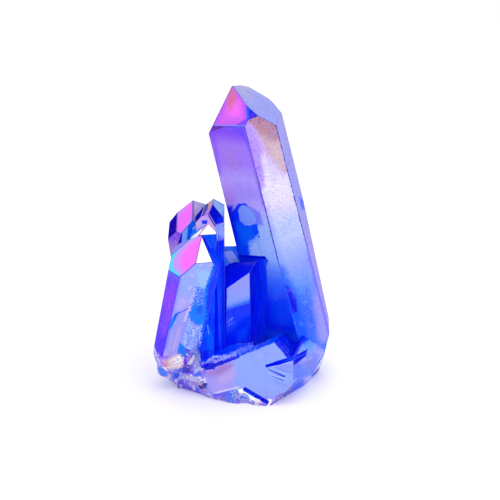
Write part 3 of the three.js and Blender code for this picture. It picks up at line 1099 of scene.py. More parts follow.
@film_on(TALL, bump=0.03, vary=0.18, rough=0.14, clear=0.02, gloss=0.06)
def tall_front(film):
    film.wash(
        [
            (7, SKY_BLUE), (11, MID_BLUE), (16, MID_BLUE), (19.5, SKY_BLUE), (22.2, SKY), (24.5, HAZE),
            (28, MIST), (32, PALE_MIST), (36, PALE_MIST), (39.5, ICE_VIOLET), (43, PALE_LAVENDER),
            (47, ICE_VIOLET), (51, PINK_LAVENDER), (58, PINK_LAVENDER),
        ],
        drift=1.6,
    )
    film.streaks(PALE_LAVENDER, 22, 0.14, 3.0, 0.5, 0.64, strength=0.1)
    film.patch(
        ICE, [(5.2, 44.5), (8.2, 45), (10.2, 42), (9.8, 38), (5.0, 39)], soft=1.6, ragged=0.5, strength=0.5
    )
    film.patch(
        TAN, [(5.4, 56.8), (10.2, 56.4), (10.9, 50.5), (10.6, 45.5), (9.0, 45), (6.6, 50.5)],
        soft=0.7, ragged=1.2, grain=0.5,
    )
    film.patch(
        PEACH, [(7.2, 52), (9.4, 52), (9.8, 46.5), (8.0, 46)], soft=1.0, ragged=1.6, grain=0.3, strength=0.6
    )
    film.patch(
        ICE_VIOLET, [(9.8, 50), (11.2, 50), (11.4, 42), (10.3, 42)],
        soft=0.5, ragged=0.6, grain=0.5, strength=0.6,
    )
    tip = [(4.2, 57.8), (6.7, 59.4), (10.6, 56.2), (10.8, 52.2), (8.6, 52.4), (6.0, 55.0)]
    film.patch(TARNISH, tip, soft=0.9, ragged=0.7, grain=0.3, strength=0.95)
    film.patch(
        SOFT_VIOLET, [(3.0, 57.6), (4.7, 56.8), (5.8, 52.5), (5.0, 46), (3.2, 45)],
        soft=0.6, ragged=0.8, grain=0.4,
    )
    film.patch(
        SOFT_VIOLET, [(3.0, 57), (4.4, 57), (5.3, 51), (4.7, 44), (3.0, 44)],
        soft=0.6, ragged=1.0, grain=0.3, strength=0.85,
    )
    film.patch(
        ICE, [(5.3, 50.5), (6.2, 50.5), (5.8, 43), (4.6, 43)], soft=0.5, ragged=1.0, grain=0.4, strength=0.6
    )
    film.patch(ICE, [(3, 58), (11, 58), (11, 36), (4, 36)], soft=0.1, ragged=6.0, grain=0.5, strength=0.2)
    film.specks(DUSTY_LAVENDER, 0.32, 0.11, 0.55, strength=0.6)
    film.specks(DUSK, 0.42, 0.09, 0.3, strength=0.45)
    film.patch(HAZE, [(3.4, 40), (4.2, 40), (4.9, 24), (3.4, 24)], soft=0.6, strength=0.5)
    film.patch(
        MID_BLUE, [(3.0, 27.6), (4.3, 26.4), (5.6, 21), (6.2, 14), (5.8, 7), (2.8, 6)], soft=1.1, ragged=0.4
    )
    film.patch(
        BRIGHT_BLUE, [(3.0, 23.0), (4.0, 22.0), (5.0, 17), (5.4, 11), (5.0, 6), (2.8, 6)],
        soft=0.6, ragged=0.3, strength=0.8,
    )
    film.patch(
        DARK_BLUE, [(3.6, 22.8), (4.5, 21.4), (5.1, 18.6), (4.8, 16.0), (3.6, 16.0)], soft=0.4, ragged=0.2
    )
    film.patch(VIOLET_BLUE, [(4.1, 22.2), (4.7, 21.0), (4.9, 18.9), (4.5, 18.6)], ragged=0.2, strength=0.5)
    film.patch(
        LAVENDER_BLUE, [(9.0, 27), (11.8, 27), (10.4, 6), (7.6, 8)], soft=0.7, ragged=0.6, strength=0.5
    )
    film.patch(LAVENDER, [(9.0, 17.5), (11.6, 21), (11.2, 7), (7.8, 7)], soft=0.9, ragged=0.4, strength=0.6)
    film.blotches(MIST, 2.2, strength=0.2)
    film.rim(DUSK, "tall_left", 0.12, ragged=0.12, low=28, high=48)
    film.rim(DUSK, "tall_right", 0.16, ragged=0.3, low=28)
    film.rim(STRIPE_VIOLET, "tall_right", 0.4, soft=0.15, ragged=0.5, strength=0.6, high=28)
    film.specks(STRIPE_VIOLET, 0.45, 0.1, 0.35, strength=0.5)


@film_on(TALL, bump=0.06, vary=0.2, rough=0.16, gloss=0.0)
def tall_right(film):
    film.wash(
        [
            (6, VEIL_VIOLET), (9.5, DUSTY_LAVENDER), (22, DUSTY_LAVENDER), (34, GREY_LAVENDER),
            (42, GREY_LAVENDER), (50, GREY_LAVENDER),
        ],
        drift=5.0, grain=3.5,
    )
    film.blotches(STEEL_MIST, 2.4, strength=0.25)
    film.blotches(PALE_ROSE, 1.4, start=0.0, strength=0.25)
    film.blotches(STEEL, 0.5, 0.02, 0.16)
    film.blotches(PALE_LAVENDER, 0.5, start=0.12, strength=0.4)
    film.patch(
        MID_BLUE, [(4.6, 37.8), (7.8, 35.8), (7.8, 33.4), (4.4, 35.0)], soft=0.6, ragged=0.5, strength=0.75
    )
    film.streaks(STRIPE_VIOLET, 84, 0.18, 1.6, 0.54, 0.66)
    film.rim(DUSK, "tall_front", 0.14, ragged=0.3, strength=0.8, low=20)
    film.rim(DUSK, "tall_back_right", 0.12, soft=0.12, ragged=0.3, strength=0.6)
    film.specks(DUSK, 0.45, 0.12, 0.45, strength=0.6)


# ---------------------------------------------------------------- the films of the left-hand points


@film_on(FRONT_LEFT, bump=0.012, rough=0.07, clear=0.15)
def left_magenta(film):
    film.wash([(20, CYAN), (31, CYAN)], drift=0)
    inner = [
        (-1.5, 30.2), (-3.1, 27.9), (-4.0, 25.3), (-3.8, 23.2), (-2.9, 21.9), (-0.6, 21.4), (0.9, 24),
        (0.9, 26), (-0.9, 30.4),
    ]
    film.patch(PINK_LAVENDER, inner, soft=0.15, ragged=0.1)
    core = [
        (-1.3, 29.8), (-2.5, 27.7), (-2.9, 25.1), (-2.2, 23.2), (-0.6, 22.4), (1.2, 24), (0.9, 26),
        (-0.6, 30.2),
    ]
    film.patch(HOT_PINK, core, soft=0.6)
    film.patch(STRIPE_VIOLET, [(-0.9, 21.4), (0.4, 23.3), (0.9, 22.9), (-0.6, 20.8)], soft=0.15)
    film.rim(DUSK, "left_violet", 0.12, strength=0.7)
    film.rim(STRIPE_VIOLET, "left_front", 0.16, strength=0.8)


# Painted highlight: this end face is white with the glint of the studio light, with a cream and tan rim on
# one side.
@film_on(FRONT_LEFT, bump=0.008, vary=0.0, rough=0.06, clear=0.1)
def left_glint(film):
    film.wash([(24, WHITE), (28.4, WHITE), (29.4, CREAM), (30.4, SALMON)], drift=0.3)
    film.rim(CREAM, "left_magenta", 0.3, soft=0.2)
    film.rim(TAN, "left_magenta", 0.1, soft=0.06, strength=0.8)


@film_on(FRONT_LEFT, gloss=0.03)
def left_dark(film):
    film.wash([(22, BLUE), (24.5, BLUE), (26.6, DEEP_BLUE), (27.6, DARK_BLUE), (29, DARK_BLUE)], drift=0.8)
    film.blotches(BRIGHT_BLUE, 0.7, start=0.04)
    film.patch(
        STEEL_BLUE, [(2.6, 27.8), (3.6, 27.6), (3.4, 25.6), (2.7, 25.6)], soft=0.2, ragged=0.3, strength=0.5
    )
    film.rim(DARK_BLUE, "left_glint", 0.2, strength=0.8)


@film_on(FRONT_LEFT, clear=0.15)
def left_stripe(film):
    film.wash(
        [(21, STEEL_BLUE), (23, STRIPE_VIOLET), (25, STEEL_BLUE), (27, STEEL_BLUE), (29, SKY)], drift=0.6
    )
    film.blotches(VIOLET, 0.7, 0.0, 0.15)
    film.rim(DUSK, "left_magenta", 0.12, soft=0.08, strength=0.6)


@film_on(FRONT_LEFT, clear=0.05, gloss=0.1)
def left_violet(film):
    film.wash(
        [
            (8, INDIGO), (14, INDIGO), (20, BLUE_VIOLET), (24, VIOLET), (28, BLUE_VIOLET),
            (30, STRIPE_VIOLET),
        ],
        drift=1.5,
    )
    film.patch(VIOLET, [(-2.4, 28), (-1.2, 28), (-1.0, 16), (-2.2, 14)], soft=0.5, strength=0.7)
    film.blotches(INDIGO, 0.9, strength=0.5)
    film.streaks(LAVENDER, 86, 0.2, 3.0, start=0.6, strength=0.3)
    film.rim(BLUE, "violet_side", 0.3, soft=0.25, strength=0.7)


# The two lobes of pale crust on the front-left point's front face.
CRUST_LEFT = [(0.2, 18.4), (1.5, 16.6), (2.2, 13.4), (1.8, 11), (0.2, 12), (-0.1, 15.6)]
CRUST_RIGHT = [(1.7, 16.4), (4.0, 17.6), (3.8, 15.2), (2.9, 12.4), (1.5, 11.6)]


@film_on(FRONT_LEFT, bump=0.03, vary=0.12, rough=0.1, clear=0.04, gloss=0.08)
def left_front(film):
    film.wash(
        [(8, LAVENDER), (14, LAVENDER), (18, STEEL_MIST), (23, LAVENDER), (26, MIST), (31, MIST)], drift=1.5
    )
    film.blotches(PALE_LAVENDER, 1.4, strength=0.35)
    film.blotches(MIST, 0.9, start=0.06)
    film.blotches(PALE_AQUA, 0.6, start=0.08, strength=0.5)
    film.patch(
        PALE_AQUA, [(-0.6, 31), (2.2, 31), (2.2, 25.5), (0.8, 25.5)], soft=0.6, ragged=0.4, strength=0.7
    )
    film.patch(LAVENDER_BLUE, [(-4.2, 30), (-3.4, 29.6), (-3.2, 12), (-4.4, 12)], ragged=0.3, strength=0.7)
    film.patch(
        PALE_LAVENDER, [(-3.2, 25), (-1.0, 24), (-1.4, 22.4), (-3.4, 22.0)],
        ragged=1.2, grain=0.4, strength=0.15,
    )
    film.patch(
        DUSTY_LAVENDER, [(-2.2, 18.5), (-1.0, 18.5), (-1.1, 11), (-3.0, 9)], ragged=0.2, strength=0.8
    )
    film.line(PALE_ROSE, (-1.6, 17.4), (-2.0, 11.4), 0.4, soft=0.25, ragged=0.2, strength=0.6)
    film.line(PALE_LAVENDER, (0.0, 26.8), (-0.9, 18.6), 0.5, soft=0.2, ragged=0.15, strength=0.7)
    film.line(STEEL_MIST, (-0.4, 18.4), (-0.9, 12.6), 0.5, soft=0.2, ragged=0.2, strength=0.9)
    film.patch(
        STEEL_BLUE, [(-4.2, 16.8), (-3.5, 16.8), (-3.7, 12), (-4.3, 12)],
        soft=0.25, ragged=0.4, strength=0.6,
    )
    film.patch(
        AZURE, [(-2.5, 21.3), (-3.3, 21.0), (-4.0, 18.9), (-4.1, 16.6), (-3.5, 17.2), (-2.9, 19.4)],
        soft=0.12, ragged=0.2, grain=0.4,
    )
    film.line(BLUE, (-3.0, 20.7), (-0.6, 22.0), 0.24, ragged=0.1)
    film.patch(
        BLUE, [(-2.6, 21.2), (-3.4, 20.6), (-3.5, 19.4), (-2.9, 20.4)], soft=0.12, ragged=0.2, strength=0.7
    )
    deep = [(2.8, 34), (2.3, 29.5), (2.0, 26), (2.3, 23.5), (3.4, 18), (8, 18), (8, 34)]
    below = [(3.2, 19), (3.6, 7), (8, 7), (8, 19)]
    film.patch(
        AZURE, [(0.6, 24.6), (3.0, 24.2), (4.0, 17.4), (1.6, 17.6), (-0.2, 19.6), (-0.2, 21.6)],
        soft=0.2, ragged=0.8, grain=0.5,
    )
    film.patch(
        BRIGHT_BLUE, [(0.8, 22.4), (2.6, 22.6), (3.0, 20.4), (1.6, 20.0)],
        ragged=0.8, grain=0.4, strength=0.8,
    )
    crumbs = [(0.2, 26.8), (2.2, 26.4), (2.4, 23), (0.0, 23.2)]
    film.crumbs(
        crumbs,
        (AZURE, 0.2, 0.8, 0.4, 1),
        (PALE_AQUA, 0.06, 3.2, 0.28, 0.9),
        (BLUE, 0.06, 4.4, 0.32, 0.7),
    )
    for crust in (CRUST_LEFT, CRUST_RIGHT):
        film.crumbs(
            crust,
            (ICE_BLUE, 0.12, 0.5, 0.35, 1),
            (PALE_LAVENDER, 0.08, 2.2, 0.22, 0.6),
            (SKY_BLUE, 0.08, 3.8, 0.26, 0.7),
        )
    film.patch(
        AZURE, [(-0.9, 13.4), (0.5, 11.9), (1.5, 9.4), (0.6, 9), (-1.0, 10.8)],
        soft=0.15, ragged=0.3, grain=0.4,
    )
    film.patch(
        DARK_BLUE, [(0.4, 11.8), (1.9, 11.0), (2.0, 9.6), (1.4, 9.4)],
        soft=0.1, ragged=0.4, grain=0.3, strength=0.8,
    )
    for area in (deep, below):
        film.patch(AZURE, area, soft=0.15, ragged=0.5, grain=0.4)
        film.patch(BLUE, [(u + 0.5, v) for u, v in area], soft=0.4, ragged=0.9, grain=0.7)
    film.streaks(PALE_BLUE, 76, 0.2, 4.0, start=0.6, strength=0.25)
    film.rim(DUSK, "left_magenta", 0.1, soft=0.08, strength=0.6)
    film.rim(VIOLET, "left_violet", 0.14, strength=0.8)


@film_on(BACK_LEFT, bump=0.012, rough=0.07, clear=0.15)
def back_pink(film):
    film.wash([(28, PINK_LAVENDER), (37, PINK_LAVENDER)], drift=0)
    core = [(1.0, 35.8), (-0.6, 33), (-0.4, 30.2), (0.9, 29.4), (1.8, 31.4), (2.3, 33.6), (2.0, 35.4)]
    film.patch(HOT_PINK, core, soft=0.5)
    film.patch(BLUE_VIOLET, [(2.4, 36.5), (3.6, 33), (3.2, 31), (2.5, 33)], strength=0.5)
    film.rim(VIOLET, "back_violet", 0.3, soft=0.25, strength=0.8)
    film.rim(DUSK, "back_grey", 0.14, strength=0.7)
    film.rim(BLUE_VIOLET, "back_bands", 0.16, strength=0.9)
    film.rim(DUSK, "back_tan", 0.12, strength=0.6)


@film_on(BACK_LEFT, rough=0.07, gloss=0.0)
def back_violet(film):
    film.wash([(28, DARK_VIOLET), (36, DARK_VIOLET)], drift=0)
    film.blotches(BLUE_VIOLET, 0.9, strength=0.3)


@film_on(BACK_LEFT, rough=0.1, clear=0.25)
def back_tan(film):
    film.wash([(8, BLUE_VIOLET), (22, VIOLET), (25, DUSTY_PINK), (29, ROSE), (31, VIOLET)])
    film.blotches(TAN, 1.4, strength=0.7)
    film.blotches(VIOLET, 0.9, strength=0.4)


@film_on(BACK_LEFT, vary=0.1, rough=0.12, clear=0.25)
def back_grey(film):
    film.wash([(28, SKY), (30.5, MIST), (33, PALE_LAVENDER), (38, PALE_LAVENDER)], drift=0.8)
    film.blotches(GREY_LAVENDER, 1.4, start=0.0, strength=0.5)
    film.blotches(CREAM, 0.7, start=0.06)
    film.rim(TAN, "back_pink", 0.35, soft=0.2, ragged=0.2, strength=0.9)
    film.rim(DUSK, "back_bands", 0.12, strength=0.6)


@film_on(BACK_LEFT, clear=0.1)
def back_bands(film):
    bands = [(-2, DARK_BLUE), (-1.3, DARK_BLUE), (-1.15, AQUA), (-0.3, AQUA), (-0.12, AZURE), (1.5, AZURE)]
    film.wash(bands, drift=0.2, grain=1.0, along=film.u)


@film_on(MIDDLE, rough=0.1, clear=0.25)
def middle_pale(film):
    film.wash([(26, SKY), (28.5, PALE_AQUA), (31, PALE_AQUA)])
    film.patch(TAN, [(-3, 31.5), (-0.9, 31.5), (-2.1, 29.0), (-2.8, 29)], soft=0.2, strength=0.8)
    film.patch(AZURE, [(-0.6, 27.8), (1, 28), (-1.2, 26), (-2.4, 26.6)], soft=0.4, strength=0.7)
    film.patch(STEEL_BLUE, [(-0.9, 31.2), (-0.2, 31.2), (1.2, 29.0), (0.9, 28.6)], soft=0.2, strength=0.6)
    film.rim(DUSK, "middle_navy", 0.12, soft=0.08, strength=0.8)


@film_on(MIDDLE, rough=0.07, gloss=0.02)
def middle_navy(film):
    film.wash([(24, NAVY), (33, NAVY)], drift=0)
    film.patch(BLUE, [(-1.0, 29.4), (0.3, 29.2), (0.2, 28.4), (-1.8, 28.2)], strength=0.4)


@film_on(MIDDLE, clear=0.15)
def middle_pink(film):
    film.wash([(21, PINK), (24.6, PINK_VIOLET), (26.2, TAN), (28.2, GREY_LAVENDER)], drift=0.6)
    film.rim(ROSE, "middle_violet", 0.5, soft=0.3, strength=0.7, low=25.5)
    film.patch(
        DARK_VIOLET, [(-0.6, 26.4), (1.4, 26.3), (2.3, 25.4), (2.9, 23.0), (2.2, 21), (-0.6, 21)], soft=0.06
    )
    film.rim(DUSK, "middle_navy", 0.14, strength=0.7)
    film.rim(AQUA, "middle_violet", 0.12, soft=0.06, strength=0.7)


@film_on(MIDDLE, rough=0.07, gloss=0.0)
def middle_violet(film):
    film.wash([(20, DARK_VIOLET), (30, DARK_VIOLET)], drift=0)


@film_on(MIDDLE, rough=0.1, clear=0.05, gloss=0.05)
def middle_lavender(film):
    film.wash([(30, BLUE), (33, LAVENDER), (36, PALE_ROSE), (38.2, PINK_LAVENDER), (40, PINK)], drift=0.5)
    film.blotches(PALE_LAVENDER, 0.8, strength=0.5)
    film.patch(BLUE, [(-0.2, 37.0), (1.2, 37.3), (1.1, 36.5), (0.0, 36.2)], soft=0.12, ragged=0.2)
    film.line(DARK_VIOLET, (1.4, 38.5), (3.0, 36.3), 0.32, soft=0.06)
    film.patch(ROYAL, [(-9, 32.5), (9, 32.5), (9, 0), (-9, 0)], soft=0.8, ragged=0.3)


@film_on(MIDDLE, vary=0.08, gloss=0.02)
def middle_front(film):
    film.wash(
        [
            (8, DEEP_BLUE), (13, BRIGHT_BLUE), (18, BLUE), (22, BRIGHT_BLUE), (27, BLUE), (29.5, DEEP_BLUE),
            (33.0, DEEP_BLUE), (34.0, MIST), (38, LAVENDER_BLUE),
        ],
        drift=0.4,
    )
    film.streaks(AZURE, 88, 0.5, 8.0, 0.5, 0.62, strength=0.3)
    film.streaks(DARK_BLUE, 90, 0.3, 6.0, 0.56, 0.62)
    film.rim(DARK_BLUE, "blue_side", 1.0, soft=0.5, ragged=0.2, strength=0.85, high=29)
    film.blotches(DEEP_BLUE, 0.8, start=0.0, strength=0.5)
    film.rim(DUSK, "blue_side", 0.12, strength=0.6)


# Painted highlight: the white of this end face is the glint of the studio light.
@film_on(STEP, bump=0.008, vary=0.0, rough=0.06, clear=0.1)
def step_glint(film):
    film.wash([(24.6, WHITE), (26.6, WHITE), (27.6, CREAM)], drift=0.4)
    film.rim(CREAM, "step_left_glint", 0.4, soft=0.25)
    film.rim(TAN, "step_left_glint", 0.1, soft=0.06, strength=0.8)


# Painted highlight: the white up this face is the glint of the studio light. The azure strip and dark line on
# its left are its own colour.
@film_on(STEP, bump=0.008, vary=0.0, rough=0.06, clear=0.1)
def step_left_glint(film):
    film.wash([(18, WHITE), (21.3, WHITE), (21.7, CREAM), (22.2, MIST), (23.4, PALE_ROSE)], drift=0.3)
    film.patch(AZURE, [(-2, 26), (1.2, 26), (1.2, 16), (-2, 16)], soft=0.12)
    film.line(DUSK, (1.3, 16), (1.3, 26), 0.22, soft=0.06)


@film_on(STEP, vary=0.12, rough=0.09, gloss=0.02)
def step_front(film):
    film.wash(
        [
            (7, ROYAL), (10, BLUE), (14, BLUE), (16, ROYAL), (20, BRIGHT_BLUE), (23, BLUE), (26, ROYAL),
            (29, ROYAL), (31, BRIGHT_BLUE),
        ],
        drift=3.0, grain=2.0,
    )
    film.blotches(BRIGHT_BLUE, 0.9, start=0.02)
    film.blotches(DEEP_BLUE, 0.7, start=0.06, strength=0.8)
    film.streaks(SKY_BLUE, 82, 0.3, 2.5, start=0.56)
    film.patch(DEEP_BLUE, [(-1.2, 31), (1, 31), (1, 22), (-0.2, 22)], soft=0.5, ragged=0.4, strength=0.7)
    film.patch(
        BRIGHT_BLUE, [(-1.4, 15.6), (-0.5, 13.8), (0.2, 9.8), (-1.5, 10.2), (-1.8, 14.0)],
        soft=0.25, ragged=0.3, strength=0.8,
    )
    film.line(SKY, (-1.5, 15.4), (-1.2, 13.4), 0.2, ragged=0.1, strength=0.8)
    film.patch(DARK_BLUE, [(-4.0, 9.6), (-1.6, 10), (-1.2, 8.2), (-3.6, 7.6)], ragged=0.5, strength=0.8)
    edge = [(-5.2, 14.4), (-2.8, 13.8), (-3.2, 11.4), (-3.8, 10.6), (-5.2, 10.6)]
    film.crumbs(
        edge,
        (MIST, 0.12, 0.6, 0.35, 1),
        (PALE_LAVENDER, 0.08, 1.5, 0.25, 0.8),
        (AZURE, 0.08, 2.2, 0.3, 0.6),
    )
    film.patch(
        PALE_AQUA, [(-5.0, 9.6), (-4.0, 9.2), (-3.4, 7.2), (-3.4, 5), (-5.0, 5)],
        soft=0.12, ragged=0.8, grain=0.3,
    )
    film.patch(
        STRIPE_VIOLET, [(-3.4, 7.2), (-0.8, 7.4), (-0.8, 5), (-3.4, 5)],
        soft=0.1, ragged=0.4, grain=0.4, strength=0.7,
    )
    film.patch(
        MIST, [(-3.4, 7.0), (-0.8, 7.2), (-0.8, 5), (-3.4, 5)],
        soft=0.06, ragged=2.2, grain=0.3, strength=0.6,
    )


@film_on(BLOCK, vary=0.06, rough=0.07, clear=0.1, gloss=0.1)
def block_front(film):
    film.wash(
        [(6, BLUE), (10, DEEP_BLUE), (15, BLUE), (18, BLUE), (23, DEEP_BLUE), (28, DARK_BLUE)], drift=1.5
    )
    film.streaks(BLUE, 88, 0.5, 6.0, 0.5, 0.6, strength=0.7)
    film.streaks(DARK_BLUE, 92, 0.4, 5.0, 0.56, 0.64, strength=0.4)
    film.patch(
        MID_BLUE, [(-3.9, 15), (-2.8, 16), (-1.6, 13.4), (-3.6, 12)],
        soft=0.4, ragged=0.9, grain=0.3, strength=0.35,
    )
    film.line(PALE_BLUE, (-3.5, 14.4), (-2.4, 15.3), 0.14, soft=0.08, ragged=0.15, strength=0.8)
    film.line(PALE_BLUE, (-3.3, 13.7), (-2.5, 14.2), 0.1, soft=0.08, ragged=0.15, strength=0.6)
    film.patch(
        BRIGHT_BLUE, [(-1.5, 12), (0.4, 13), (0.4, 10), (-1.5, 9)], soft=0.4, ragged=0.6, strength=0.5
    )
    # From here to the end of this film: the pale window across the face is painted light seen in the block.
    film.patch(MID_BLUE, [(-3.75, 22), (0.95, 24), (0.95, 18.4), (-3.75, 17.1)], soft=0.08, ragged=0.12)
    film.patch(MIST, [(-3.7, 22.1), (0.85, 25.3), (0.95, 19.3), (-3.7, 17.8)], soft=0.07, ragged=0.1)
    film.patch(LAVENDER, [(-3.7, 22.1), (0.85, 25.3), (0.95, 22.5), (-3.7, 20.6)], soft=0.7, strength=0.5)
    film.patch(
        SKY, [(-3.7, 18.5), (0.95, 20.0), (0.95, 18.9), (-3.7, 17.4)],
        soft=0.2, ragged=1.1, grain=0.3, strength=0.6,
    )
    film.patch(PALE_BLUE, [(-3.6, 21.6), (-2.8, 22), (-2.8, 18.4), (-3.6, 18.2)], ragged=0.3, strength=0.5)


@film_on(BLOCK, vary=0.06, clear=0.06, gloss=0.1)
def block_side(film):
    film.wash(
        [(-0.5, DARK_BLUE), (1.9, DARK_BLUE), (2.3, DEEP_BLUE), (3.4, DEEP_BLUE), (5.2, BLUE)],
        drift=0.3, grain=1.0, along=film.u,
    )
    film.streaks(NAVY, 90, 0.3, 8.0, 0.55, 0.65)
    film.streaks(BRIGHT_BLUE, 88, 0.3, 6.0, 0.58, 0.66)


# Painted reflection: the cap is painted dark blue for the dark points on its left that it mirrors.
@film_on(BLOCK, rough=0.07, clear=0.06, gloss=0.1)
def block_top_dark_reflection(film):
    film.wash([(12, DEEP_BLUE), (22, DARK_BLUE)], drift=1.5)
    film.blotches(BLUE, 1.5, strength=0.3)
    film.blotches(NAVY, 0.8, start=0.04, strength=0.5)


@film_on(WEDGE, clear=0.15)
def wedge_front(film):
    film.wash([(18, ROYAL), (28, ROYAL)], drift=0.3)
    film.patch(AZURE, [(-1.2, 27.8), (0.3, 25.4), (-1.4, 24.6), (-1.6, 27)], soft=0.2, ragged=0.2)
    film.patch(
        MIST, [(-0.9, 28.3), (0.2, 28.3), (1.8, 25.6), (0.1, 25.5), (-1.0, 27.2)], soft=0.1, ragged=0.15
    )
    film.patch(BRIGHT_BLUE, [(0.4, 28.4), (2.4, 28.4), (2.4, 25.2), (2.0, 25.2)], soft=0.1, ragged=0.1)
    film.line(AQUA, (0.25, 28.2), (1.9, 25.5), 0.18, soft=0.08, ragged=0.1, strength=0.8)


@film_on(WEDGE, clear=0.1, gloss=0.2)
def wedge_roof(film):
    film.wash([(19, AZURE), (20.5, AZURE), (21.0, SKY_BLUE), (21.5, DARK_BLUE), (22, NAVY)], drift=0.3)


# ---------------------------------------------------------------- films that several faces share


def side_film(name, stops, cloud):
    """A prism side seen from behind: it deepens to blue at the root."""
    film = Film(name, rough=0.1, clear=0.4)
    film.wash(stops, drift=4.0, grain=4.0)
    film.blotches(cloud, 2.4)
    film.streaks(PALE_LAVENDER, 2, 0.25, 5.0, 0.56, 0.72, strength=0.35)
    film.specks(DARK_VIOLET, 0.8, 0.05, 0.3, strength=0.5)
    return film.done(bump=0.03)


@film_on(bump=0.03, vary=0.1, rough=0.1, gloss=0.03)
def blue_side(film):
    film.wash([(4, ROYAL), (22, BLUE), (36, SKY)], drift=4.0, grain=4.0)
    film.blotches(BRIGHT_BLUE, 1.2)


def end_film(name, first, second, cloud):
    """An end face seen from behind."""
    film = Film(name, rough=0.08, clear=0.35)
    film.wash([(20, first), (50, second)], drift=8.0, grain=5.0)
    film.blotches(cloud, 1.6)
    return film.done()


# Sides seen from behind: the colours up the side and the clouds on it.
SIDE_FILMS = {
    "violet_side": ([(4, DEEP_BLUE), (18, BLUE_VIOLET), (30, VIOLET), (48, LAVENDER)], SOFT_VIOLET),
    "rose_side": ([(4, BLUE), (16, BLUE_VIOLET), (26, PINK_LAVENDER), (40, ROSE)], PINK),
    "tall_back_right": (
        [(4, BLUE), (14, MID_BLUE), (26, MIST), (42, PALE_LAVENDER), (56, PINK_LAVENDER)], LAVENDER
    ),
    "tall_back": ([(4, DEEP_BLUE), (16, BLUE), (28, BLUE_VIOLET), (44, SOFT_VIOLET), (56, PINK)], MIST),
    "tall_back_left": ([(4, DEEP_BLUE), (18, BRIGHT_BLUE), (32, SKY), (46, MIST), (58, CYAN)], BLUE_VIOLET),
}
# End faces seen from behind: low colour, high colour and clouds.
END_FILMS = {
    "navy_end": (NAVY, DARK_VIOLET, BLUE),
    "rose_end": (ROSE, PINK, TAN),
    "gold_end": (TAN, SALMON, CREAM),
    "tall_top_back_right": (MIST, SKY, PALE_LAVENDER),
    "tall_top_back": (PINK_LAVENDER, HOT_PINK, SALMON),
    "tall_top_back_left": (SKY, CYAN, BLUE_VIOLET),
}


@film_on(bump=0.04, rough=0.15, clear=0.2)
def worn_edge(film):
    film.wash([(8, DEEP_BLUE), (24, BLUE), (34, DUSK), (44, STRIPE_VIOLET), (60, DUSK)], drift=4.0)


@film_on(face=PALE_BREAK, rough=0.12, gloss=0.03)
def groove_blue(film):
    film.wash([(-2, DARK_BLUE), (12, DEEP_BLUE)], drift=2.0)
    film.streaks(MID_BLUE, 19, 0.25, 5.0, 0.45, 0.6, strength=0.8)


@film_on(rough=0.12, clear=0.1, gloss=0.2)
def groove_soft(film):
    film.wash([(0, MID_BLUE), (12, VEIL_BLUE)], drift=2.0)


@film_on(bump=0.05, rough=0.4, clear=0.2)
def underside(film):
    film.wash([(-20, LAVENDER), (20, MIST)], drift=6.0, grain=5.0, along=film.u)
    film.blotches(MID_BLUE, 2.0)


NO_CHIP = -0.02  # a face with a chip value up to this has no tint


def tinted(film, tints, strength):
    """Gives each chip of the root one of the tints."""
    chip_value = film.add("ShaderNodeAttribute", attribute_name="chip").outputs["Fac"]
    made = film.ramp(chip_value, [(number / len(tints), tint) for number, tint in enumerate(tints)])
    made.color_ramp.interpolation = "CONSTANT"
    film.mix(made.outputs["Color"], film.between(chip_value, NO_CHIP, 0.0, 0.0, strength))


@film_on(face=PALE_BREAK, bump=0.05, rough=0.1, clear=0.35)
def root(film):
    """The broken faces at the back of the root, with shell-shaped hollows."""
    film.wash(
        [(0, BLUE_VIOLET), (3, LAVENDER), (6, MIST), (12, MID_BLUE), (20, BLUE)], drift=4.0, grain=2.0
    )
    tints = [
        MIST, LAVENDER, BLUE_VIOLET, PALE_LAVENDER, STRIPE_VIOLET, ROSE, SKY, MID_BLUE, PINK_LAVENDER,
    ]
    tinted(film, tints, 0.6)
    film.blotches(BLUE, 1.6, strength=0.5)


